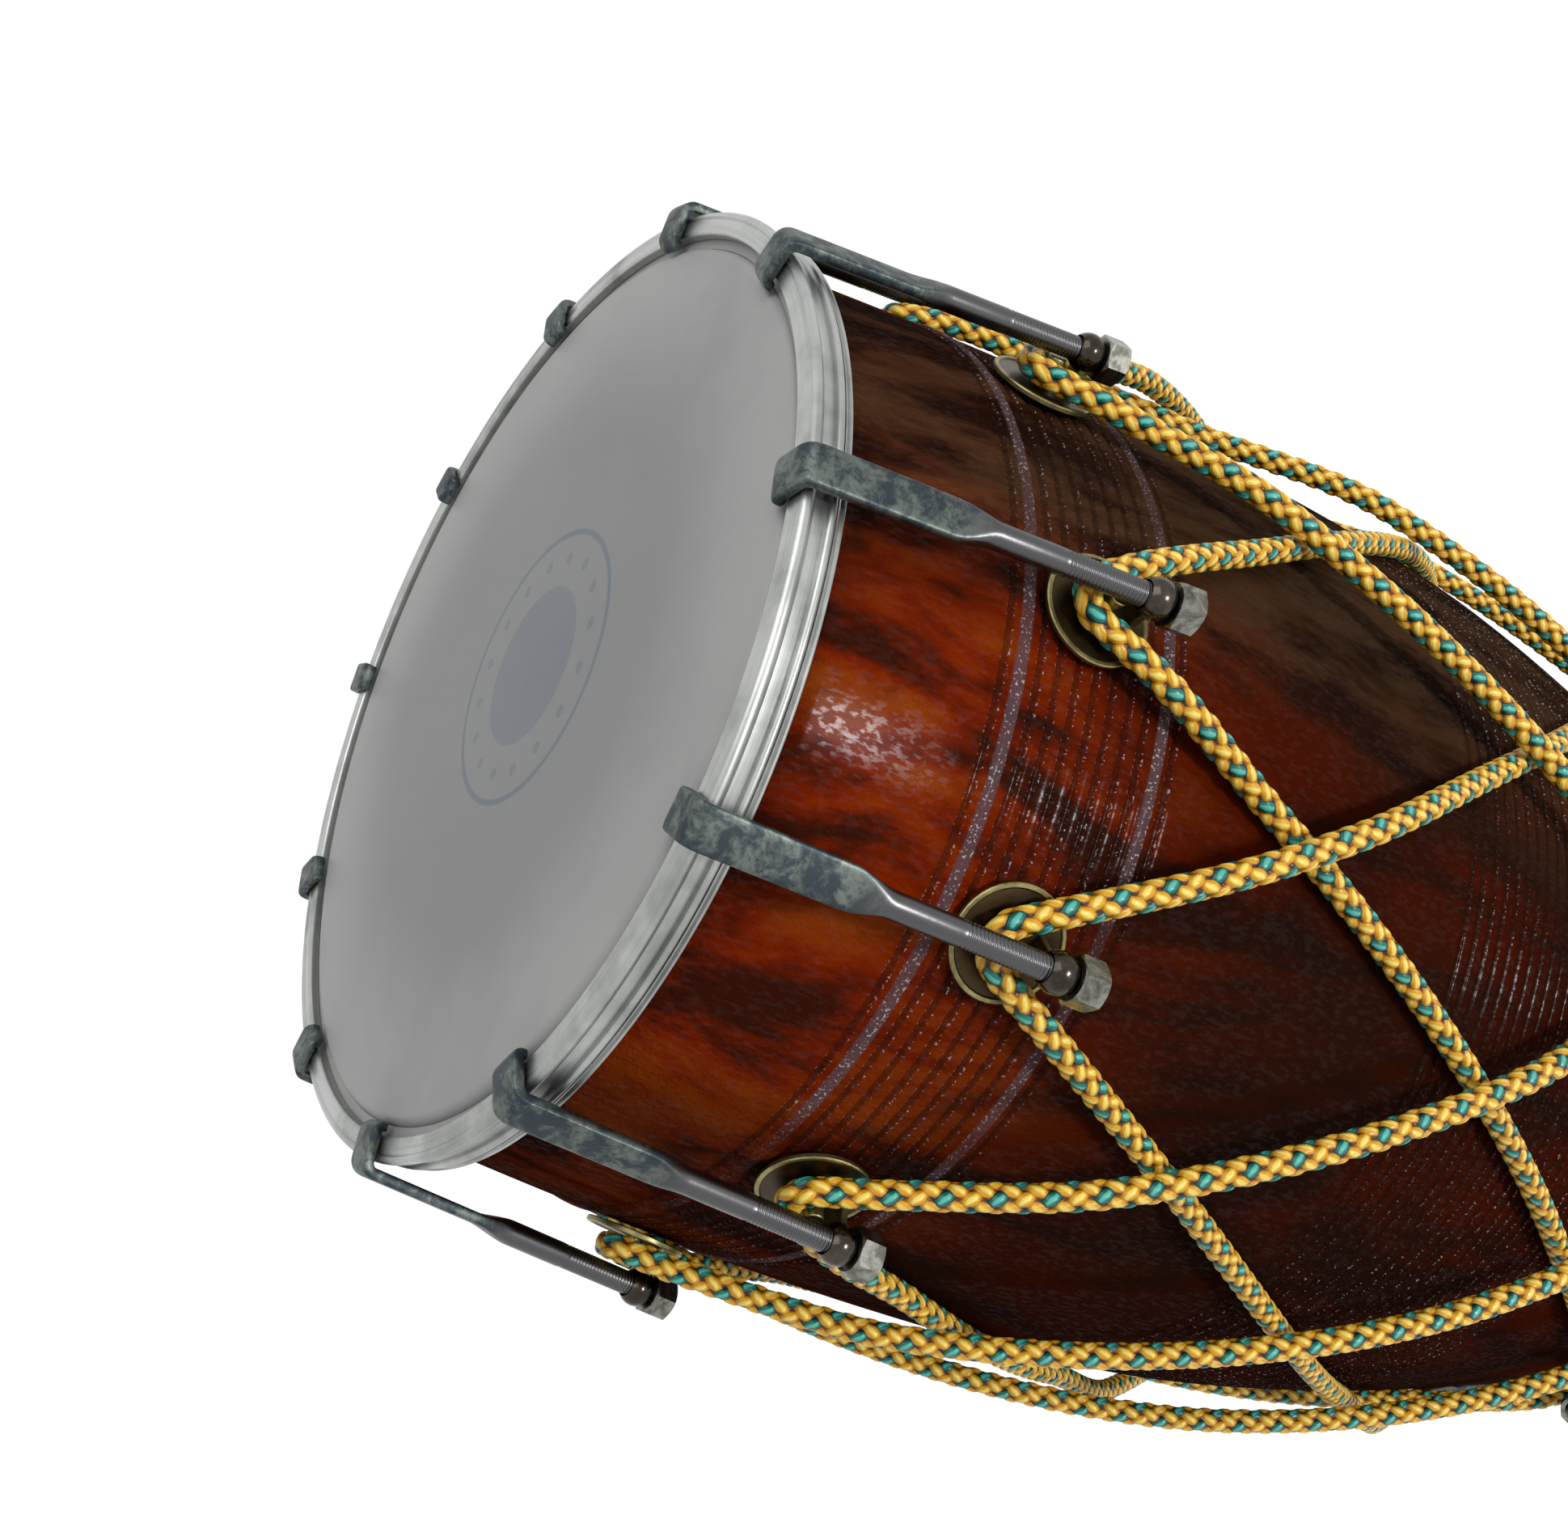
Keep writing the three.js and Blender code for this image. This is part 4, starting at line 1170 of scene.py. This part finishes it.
def saddle_lug(saddle):
    """The upright lug between the plate's rear edge and the ball, narrow at its waist."""
    bm = bmesh.new()
    bmesh.ops.create_grid(bm, x_segments=10, y_segments=1, size=0.5)
    foot = saddle_foot(saddle)
    for vert in bm.verts:
        grown = vert.co.x + 0.5
        pinch = (1 - grown) ** 3
        width = saddle.lug_waist + (saddle.lug_foot - saddle.lug_waist) * pinch
        vert.co = Vector((foot * (1 - grown), vert.co.y * width, -saddle.lug_thick / 2))
    lifted = verts_of(bmesh.ops.extrude_face_region(bm, geom=bm.faces[:])["geom"])
    bmesh.ops.translate(bm, verts=lifted, vec=(0, 0, saddle.lug_thick))
    bmesh.ops.recalc_face_normals(bm, faces=bm.faces[:])
    sharp_fold = math.radians(50)
    sharp = [edge for edge in bm.edges if edge.calc_face_angle(0) > sharp_fold]
    bmesh.ops.bevel(
        bm, geom=sharp, offset=saddle.lug_thick / 8, affect="EDGES", segments=2, profile=0.5,
        material=-1,
    )
    return bm


def saddle_boss(saddle):
    """The round boss that holds the rope's loop."""
    foot = saddle_foot(saddle)
    edge = saddle.boss_radius / 6
    crown = (saddle.boss_radius - edge, -saddle.boss_top - edge)
    outline = [(0, foot), (saddle.boss_radius, foot), *arc(crown, edge, 0, 90, 4)]
    outline.append((0, -saddle.boss_top))
    bm = turned(outline, saddle.steps)
    bm.transform(above_plate(saddle))
    return bm


def saddle_ball(saddle):
    """The ball with its drilled eye."""
    rim = math.degrees(math.acos(saddle.ball_bore / saddle.ball_radius)) - 2
    outline = arc((0, 0), saddle.ball_radius, -rim, rim, 14)
    eye_end = outline[-1][1] - MERGE * 200
    outline += [(saddle.ball_bore, eye_end), (saddle.ball_bore, -eye_end)]
    return turned(outline, saddle.steps)


class DRUM_OT_saddles(bpy.types.Operator):
    """Set a saddle with its ball eye at every hook"""

    bl_idname = "drum.saddles"
    bl_label = "Saddles"

    def execute(self, context):
        saddle = context.scene.drum_saddle
        holder = join(saddle_plate(saddle), saddle_lug(saddle), saddle_boss(saddle))
        ball = saddle_ball(saddle)
        yellow = mottled_metal(
            "yellow_zinc", saddle.zinc, saddle.stain, 90, 0.30, 0.65, saddle.dish_shade
        )
        bright = mottled_metal("ball_zinc", saddle.ball, saddle.pale, 120, 0.12, 0.4)
        for side, end, label, spot in every_hook():
            node = f"treble_saddle_{label}" if side > 0 else "lacing_rope"
            spot = spot @ rod_matrix()
            for kind, bm, finish in (("plate", holder, yellow), ("ball", ball, bright)):
                name = f"{end}_{kind}_{label}"
                add_piece(name, bm, spot, "drum", finish, [node], 35)
        holder.free()
        ball.free()
        return {"FINISHED"}


# Nuts

def nut_blank(nut):
    """A chamfered hex nut, its face towards the ball at z = -face."""
    flat = nut.flats / 2
    chamfer_start = flat * 0.97

    def ring(height, radius):
        return lambda turn: polar(radius, turn, height)

    def hexagon(height, towards):
        """The six sides, which the chamfer cuts back from the face at their corners."""
        slope = math.tan(nut.chamfer) * towards

        def point(turn):
            near = (turn + math.pi / 6) % (math.pi / 3) - math.pi / 6
            reach = flat / math.cos(near)
            return polar(reach, turn, height + (reach - chamfer_start) * slope)

        return point

    top = -nut.face
    bottom = top - nut.thick
    open_bore = nut.bore + nut.countersink
    sections = [
        ring(top - nut.countersink, nut.bore),
        ring(top, open_bore),
        ring(top, chamfer_start),
        hexagon(top, -1),
        hexagon(bottom, 1),
        ring(bottom, chamfer_start),
        ring(bottom, open_bore),
        ring(bottom + nut.countersink, nut.bore),
        ring(top - nut.countersink, nut.bore),
    ]
    return lofted(sections, nut.sides)


class DRUM_OT_nuts(bpy.types.Operator):
    """Screw a nut on every hook rod"""

    bl_idname = "drum.nuts"
    bl_label = "Nuts"

    def execute(self, context):
        nut = context.scene.drum_nut
        bm = nut_blank(nut)
        finish = mottled_metal("nut_zinc", nut.zinc, nut.stain, 170, 0.20, 0.85)
        for _, end, label, spot in every_hook():
            body = f"{end}_nut_{label}"
            name = f"{end}_hex_nut_{label}"
            spot = spot @ rod_matrix()
            add_piece(name, bm, spot, body, finish, [body], 20)
        bm.free()
        return {"FINISHED"}


# Lacing: the same route as the CAD rope's, in metres

class LaceRoute:
    """The rope's centre line: loops round the bosses and slanted runs over the shell."""

    def __init__(self, lacing, shell, saddle):
        self.lacing = lacing
        self.shell = shell
        self.saddle = saddle
        self.level = saddle.boss_top + lacing.seat_gap + lacing.radius
        self.loop_radius = saddle.boss_radius + lacing.seat_gap + lacing.radius
        self.lift = lacing.radius + lacing.seat_gap
        self.round_reach = lacing.down_reach + lacing.up_reach
        self.order = {
            (lacing.first_laced - visit * self.round_reach) % HOOK_COUNT: visit
            for visit in range(HOOK_COUNT)
        }

    def from_ball(self, side, index, out, round_drum, along):
        """A point given by its offsets from a ball: out, round the drum and along the rod."""
        turn = hook_angle(side, index)
        radial = Vector((math.cos(turn), math.sin(turn), 0))
        tangent = Vector((-math.sin(turn), math.cos(turn), 0))
        radius = BALL_OUT + out * math.cos(ROD_TILT) - along * math.sin(ROD_TILT)
        rise = out * math.sin(ROD_TILT) + along * math.cos(ROD_TILT)
        height = MIDDLE + side * (HALF_LENGTH - BALL_DEPTH + rise)
        return radial * radius + tangent * round_drum + Vector((0, 0, height))

    def slant(self, side, leaving):
        """Angle between a strand and the drum's axis where it leaves or reaches an end."""
        shift = FIRST_ANGLES[-1] - FIRST_ANGLES[1]
        if (side > 0) == leaving:
            turn = self.lacing.down_reach * HOOK_STEP - shift
        else:
            turn = self.lacing.up_reach * HOOK_STEP + shift
        run = 2 * (HALF_LENGTH - BALL_DEPTH + self.saddle.boss_ahead)
        return math.atan2(BALL_OUT * turn, run)

    def loop_point(self, side, index, turn):
        along = self.saddle.boss_ahead + self.loop_radius * math.cos(turn)
        return self.from_ball(side, index, -self.level, self.loop_radius * math.sin(turn), along)

    def leg_point(self, side, index, leaving):
        turn = math.pi / 2 - self.slant(side, leaving)
        leg = self.lacing.leg
        round_drum = self.loop_radius * math.sin(turn) + leg * math.cos(turn)
        along = self.loop_radius * math.cos(turn) - leg * math.sin(turn)
        sign = -1 if leaving else 1
        along += self.saddle.boss_ahead
        return self.from_ball(side, index, -self.level, sign * round_drum, along)

    def run(self, index, way):
        """The ends of a strand: way 1 goes from treble hook `index`, way -1 comes to it."""
        reach = self.lacing.down_reach if way > 0 else -self.lacing.up_reach
        top = self.leg_point(1, index, way > 0)
        bottom = self.leg_point(-1, index + reach, way < 0)
        top_turn = math.atan2(top.y, top.x)
        bottom_turn = math.atan2(bottom.y, bottom.x)
        swing = bottom_turn - top_turn + reach * HOOK_STEP
        bottom_turn -= math.tau * round(swing / math.tau)
        ends = [(top_turn, top.xy.length, top.z), (bottom_turn, bottom.xy.length, bottom.z)]
        return {"index": index, "way": way, "top": ends[0], "bottom": ends[1]}

    def run_angle(self, run, z):
        top, _, high = run["top"]
        bottom, _, low = run["bottom"]
        return top + (bottom - top) * (high - z) / (high - low)

    def crossing(self, run, other):
        """Height at which two strands cross."""
        slopes = [
            (r["bottom"][0] - r["top"][0]) / (r["bottom"][2] - r["top"][2]) for r in (run, other)
        ]
        offset = self.run_angle(other, MIDDLE) - self.run_angle(run, MIDDLE)
        near = offset - math.tau * round(offset / math.tau)
        return MIDDLE + near / (slopes[0] - slopes[1])

    def levels(self, run):
        """Height, rise and half height of each place where a strand is held, from the top."""
        flat = self.lacing.crossing_flat * math.cos(self.slant(1, run["way"] > 0))
        places = []
        for _, radius, height in (run["top"], run["bottom"]):
            rise = radius - barrel_radius(self.shell, height - MIDDLE) - self.lift
            places.append((height, rise, 0))
        here = run["index"] % HOOK_COUNT
        for row in range(1, self.round_reach):
            there = (run["index"] + run["way"] * row) % HOOK_COUNT
            height = self.crossing(run, self.run(there, -run["way"]))
            above = self.order[here] > self.order[there]
            rise = 2 * self.lacing.radius + self.lacing.self_gap if above else 0
            places.append((height, rise, flat))
        return sorted(places, reverse=True)

    def strand_point(self, run, levels, z):
        pairs = list(zip(levels, levels[1:]))
        above, below = next((pair for pair in pairs if pair[1][0] <= z), pairs[-1])
        start = above[0] - above[2]
        part = smoothstep((start - z) / (start - below[0] - below[2]))
        rise = above[1] + (below[1] - above[1]) * part
        radius = barrel_radius(self.shell, z - MIDDLE) + self.lift + rise
        return polar(radius, self.run_angle(run, z), z)

    def centre_line(self, spacing):
        """Evenly spaced points round the whole closed route, from the knot on."""
        route = []
        for visit in range(HOOK_COUNT):
            treble = visit * self.round_reach % HOOK_COUNT
            self.add_loop(route, 1, treble)
            self.add_run(route, self.run(treble, 1), 1)
            self.add_loop(route, -1, treble + self.lacing.down_reach)
            self.add_run(route, self.run(treble + self.round_reach, -1), -1)
        points = evenly_spaced(route, spacing)
        points = eased(points, round(self.lacing.rounding / spacing))
        knot = self.knot()[0]
        first = min(range(len(points)), key=lambda step: (points[step] - knot).length)
        return points[first:] + points[:first]

    def add_loop(self, route, side, index):
        start = math.pi / 2 - self.slant(side, False)
        end = self.slant(side, True) - math.pi / 2
        steps = 24
        for step in range(steps + 1):
            turn = start + (end - start) * step / steps
            route.append(self.loop_point(side, index, turn))

    def add_run(self, route, run, way):
        levels = self.levels(run)
        high = run["top"][2]
        low = run["bottom"][2]
        steps = 160
        points = []
        for step in range(steps + 1):
            z = high + (low - high) * step / steps
            points.append(self.strand_point(run, levels, z))
        route.extend(points if way > 0 else reversed(points))

    def knot(self):
        """Middle of the knot, its strand's direction and the way out."""
        run = self.run(self.lacing.first_laced, 1)
        levels = self.levels(run)
        z = run["bottom"][2] + self.lacing.knot_at
        centre = self.strand_point(run, levels, z)
        along = (self.strand_point(run, levels, z + self.lacing.radius) - centre).normalized()
        outward = Vector((centre.x, centre.y, 0)).normalized()
        outward = (outward - along * outward.dot(along)).normalized()
        seat = barrel_radius(self.shell, z - MIDDLE) + self.lacing.seat_gap
        seat += self.lacing.knot_radius
        return centre + outward * max(0, seat - centre.xy.length), along, outward


def evenly_spaced(route, spacing):
    """A closed row of points at nearly the given spacing along a closed polyline."""
    closed = [*route, route[0]]
    lengths = [0]
    for before, after in zip(closed, closed[1:]):
        lengths.append(lengths[-1] + (after - before).length)
    total = round(lengths[-1] / spacing)
    points = []
    segment = 0
    for step in range(total):
        reach = lengths[-1] * step / total
        while lengths[segment + 1] < reach:
            segment += 1
        part = (reach - lengths[segment]) / (lengths[segment + 1] - lengths[segment])
        points.append(closed[segment].lerp(closed[segment + 1], part))
    return points


def eased(points, reach):
    """Each point moved to the mean of its neighbours within `reach` places."""
    window = range(-reach // 2, reach // 2 + 1)
    total = len(points)
    moved = []
    for step in range(total):
        near = [points[(step + offset) % total] for offset in window]
        moved.append(sum(near, Vector()) / len(near))
    return moved


def braid_height(along, round_rope):
    """Height of the braid's surface, from 0 in a hollow to about 1 on a crest."""
    along -= BRAID_LAY * math.sin(4 * math.pi * along) / (4 * math.pi)
    heights = []
    for course, other, sign in (
        (round_rope + along, round_rope - along, 1),
        (round_rope - along, round_rope + along, -1),
    ):
        whole = math.floor(course)
        across = course - whole - 0.5
        crown = math.sqrt(max(0, 1 - across * across * BRAID_ROUND))
        over = math.sin(math.pi * other) * math.cos(math.pi * whole) * sign
        over *= 1.5 - over * over / 2
        heights.append(crown + over * BRAID_OVER)
    return max(heights) / (1 + BRAID_OVER)


def strands_per_ring(lacing):
    """How many of the braid's strands pass from one ring of the mesh to the next."""
    return lacing.strands * lacing.spacing / lacing.braid_pitch


def rope_tube(lacing, points, outs, radius, start):
    """A braided tube along points, with the way out at each; UV holds the braid's turns."""
    bm = bmesh.new()
    uv_layer = bm.loops.layers.uv.new("braid")
    rings = len(points) - 1
    bmesh.ops.create_grid(bm, x_segments=rings, y_segments=lacing.sides, size=0.5)
    per_ring = strands_per_ring(lacing)
    for face in bm.faces:
        for loop in face.loops:
            along = (loop.vert.co.x + 0.5) * rings * per_ring + start
            loop[uv_layer].uv = (along, (loop.vert.co.y + 0.5) * lacing.strands)
    frames = []
    for step, point in enumerate(points):
        before = points[max(step - 1, 0)]
        after = points[min(step + 1, rings)]
        along = (after - before).normalized()
        outward = (outs[step] - along * outs[step].dot(along)).normalized()
        frames.append((point, outward, along.cross(outward)))
    for vert in bm.verts:
        step = round((vert.co.x + 0.5) * rings)
        turn_share = vert.co.y + 0.5
        turn = turn_share * math.tau
        height = braid_height(start + step * per_ring, turn_share * lacing.strands)
        reach = radius - lacing.relief * (1 - height) * radius / lacing.radius
        point, outward, across = frames[step]
        vert.co = point + outward * (reach * math.cos(turn)) + across * (reach * math.sin(turn))
    return closed(bm)


def knot_tubes(lacing, route):
    """The knot's turns and its two loose ends."""
    heart, along, outward = route.knot()
    across = outward.cross(along)
    thin = lacing.radius * lacing.knot_share
    coil = lacing.knot_radius - thin
    steps = round(math.tau * coil * lacing.knot_turns / lacing.spacing)
    reach = lacing.knot_length - 2 * thin
    points = []
    for step in range(steps + 1):
        part = step / steps
        turn = math.tau * lacing.knot_turns * part
        spoke = outward * math.cos(turn) + across * math.sin(turn)
        points.append(heart + along * (reach * (part - 0.5)) + spoke * coil)
    tubes = [rope_tube(lacing, points, [along] * len(points), thin, 0)]
    for way in (1, -1):
        aim = along * (way * math.cos(lacing.tail_angle)) + across * math.sin(lacing.tail_angle)
        aim = (aim + outward * (math.sin(lacing.tail_angle) / 2)).normalized()
        steps = round(lacing.tail / lacing.spacing)
        points = [heart + aim * (lacing.tail * step / steps) for step in range(steps + 1)]
        tail_radius = lacing.radius * 0.96
        tubes.append(rope_tube(lacing, points, [outward] * len(points), tail_radius, 0))
    return tubes


class DRUM_OT_lacing(bpy.types.Operator):
    """Lace the braided rope round the saddles and knot its ends"""

    bl_idname = "drum.lacing"
    bl_label = "Lacing"

    def execute(self, context):
        lacing = context.scene.drum_lacing
        route = LaceRoute(lacing, context.scene.drum_shell, context.scene.drum_saddle)
        points = route.centre_line(lacing.spacing)
        points.append(points[0])
        finish = braided_yarn(lacing)
        per_ring = strands_per_ring(lacing)
        bms = {}
        cuts = [len(points) * cut // lacing.pieces for cut in range(lacing.pieces + 1)]
        for start, end in zip(cuts, cuts[1:]):
            part = points[start:end + 1]
            outs = [Vector((point.x, point.y, 0)).normalized() for point in part]
            tube = rope_tube(lacing, part, outs, lacing.radius, start * per_ring)
            bms[f"lacing_part_{len(bms) + 1}"] = tube
        bms["lacing_knot"] = join(*knot_tubes(lacing, route))
        for name, bm in bms.items():
            add_piece(name, bm, Matrix(), "drum", finish, ["lacing_rope"], 80)
            bm.free()
        return {"FINISHED"}


# Studio

def shows_white(shader):
    """1 for a ray of the camera, of a reflection or of something clear."""
    rays = shader.add("LightPath").socket.node.outputs
    kinds = ("Is Camera Ray", "Is Glossy Ray", "Is Transmission Ray")
    camera, glossy, clear = (Wire(shader, rays[kind]) for kind in kinds)
    return camera.most(glossy).most(clear)


def pale_floor(studio):
    """A matt floor that glows to plain white for the camera and keeps its shadows."""
    shader = Shader("pale_floor")
    shader.finish(Base_Color=studio.floor_colour, Roughness=0.9, Specular_IOR_Level=0.0)
    glow = shader.add("Emission", values={"Color": (1, 1, 1), "Strength": studio.floor_glow})
    surface = Wire(shader, shader.tree.nodes["Principled BSDF"].outputs["BSDF"])
    factor = shows_white(shader) * studio.floor_white
    mixed = shader.add("MixShader", values=(factor, surface, glow))
    shader.feed(shader.tree.nodes["Material Output"].inputs["Surface"], mixed)
    return shader.owner


def light_world(studio):
    """A world that lights softly and shows as plain white."""
    shader = Shader("studio_world", "worlds")
    shader.tree.nodes.clear()
    fill, white = (
        shader.add("Background", values={"Color": (1, 1, 1), "Strength": level})
        for level in (studio.fill, 1.0)
    )
    mixed = shader.add("MixShader", values=(shows_white(shader), fill, white))
    output = shader.tree.nodes.new("ShaderNodeOutputWorld")
    shader.feed(output.inputs["Surface"], mixed)
    bpy.context.scene.world = shader.owner


def add_lamp(name, spot, size, height, power):
    """A rectangular lamp that points at the drum."""
    light = bpy.data.lights.new(name, "AREA")
    light.shape = "RECTANGLE"
    light.size = size
    light.size_y = height
    light.energy = power
    lamp = bpy.data.objects.new(name, light)
    aim = Vector((0, 0, LAMP_AIM)) - Vector(spot)
    lamp.location = spot
    lamp.rotation_mode = "QUATERNION"
    lamp.rotation_quaternion = aim.to_track_quat("-Z", "Y")
    bpy.context.scene.collection.objects.link(lamp)


class DRUM_OT_studio(bpy.types.Operator):
    """Set the camera, the pale floor and the soft lamps"""

    bl_idname = "drum.studio"
    bl_label = "Studio"

    def execute(self, context):
        scene = context.scene
        studio = scene.drum_studio
        scene.view_settings.view_transform = "Standard"
        camera_data = bpy.data.cameras.new("camera")
        camera_data.sensor_fit = "HORIZONTAL"
        camera_data.sensor_width = studio.sensor
        camera_data.lens = studio.lens
        camera = bpy.data.objects.new("camera", camera_data)
        back = -Vector(studio.view).normalized()
        right = Vector(studio.up).cross(back).normalized()
        up = back.cross(right)
        turn = Matrix((right, up, back)).transposed().to_4x4()
        camera.matrix_world = Matrix.Translation(studio.camera) @ turn
        scene.collection.objects.link(camera)
        scene.camera = camera
        bm = bmesh.new()
        bmesh.ops.create_grid(bm, x_segments=1, y_segments=1, size=studio.floor_size / 2)
        mesh = bpy.data.meshes.new("floor")
        bm.to_mesh(mesh)
        bm.free()
        mesh.materials.append(pale_floor(studio))
        floor = bpy.data.objects.new("floor", mesh)
        scene.collection.objects.link(floor)
        light_world(studio)
        key = (studio.key_place, studio.key_size, studio.key_height, studio.key_power)
        add_lamp("key_lamp", *key)
        top = (studio.top_place, studio.top_size, studio.top_size, studio.top_power)
        add_lamp("top_lamp", *top)
        return {"FINISHED"}


# Add-on

GROUPS = {
    "drum_shell": ShellProperties,
    "drum_head": HeadProperties,
    "drum_hoop": HoopProperties,
    "drum_hook": HookProperties,
    "drum_saddle": SaddleProperties,
    "drum_nut": NutProperties,
    "drum_lacing": LacingProperties,
    "drum_studio": StudioProperties,
}
OPERATORS = (
    DRUM_OT_studio,
    DRUM_OT_shell,
    DRUM_OT_heads,
    DRUM_OT_hoops,
    DRUM_OT_hooks,
    DRUM_OT_saddles,
    DRUM_OT_nuts,
    DRUM_OT_lacing,
)


class DRUM_PT_panel(bpy.types.Panel):
    """Lists the drum's pieces and their sizes"""

    bl_idname = "DRUM_PT_panel"
    bl_label = "Barrel Drum"
    bl_space_type = "VIEW_3D"
    bl_region_type = "UI"
    bl_category = "Drum"

    def draw(self, context):
        for operator in OPERATORS:
            self.layout.operator(operator.bl_idname)
        for name, group in GROUPS.items():
            box = self.layout.box()
            box.label(text=name.replace("_", " ").title())
            for field in group.__annotations__:
                box.prop(getattr(context.scene, name), field)


def register():
    for group in GROUPS.values():
        bpy.utils.register_class(group)
    for name, group in GROUPS.items():
        setattr(bpy.types.Scene, name, PointerProperty(type=group))
    for operator in (*OPERATORS, DRUM_PT_panel):
        bpy.utils.register_class(operator)


def unregister():
    for operator in (*OPERATORS, DRUM_PT_panel):
        bpy.utils.unregister_class(operator)
    for name, group in GROUPS.items():
        delattr(bpy.types.Scene, name)
        bpy.utils.unregister_class(group)


def main():
    register()
    for operator in OPERATORS:
        make = operator.bl_idname.split(".")[1]
        getattr(bpy.ops.drum, make)()


if __name__ == "__main__":
    main()
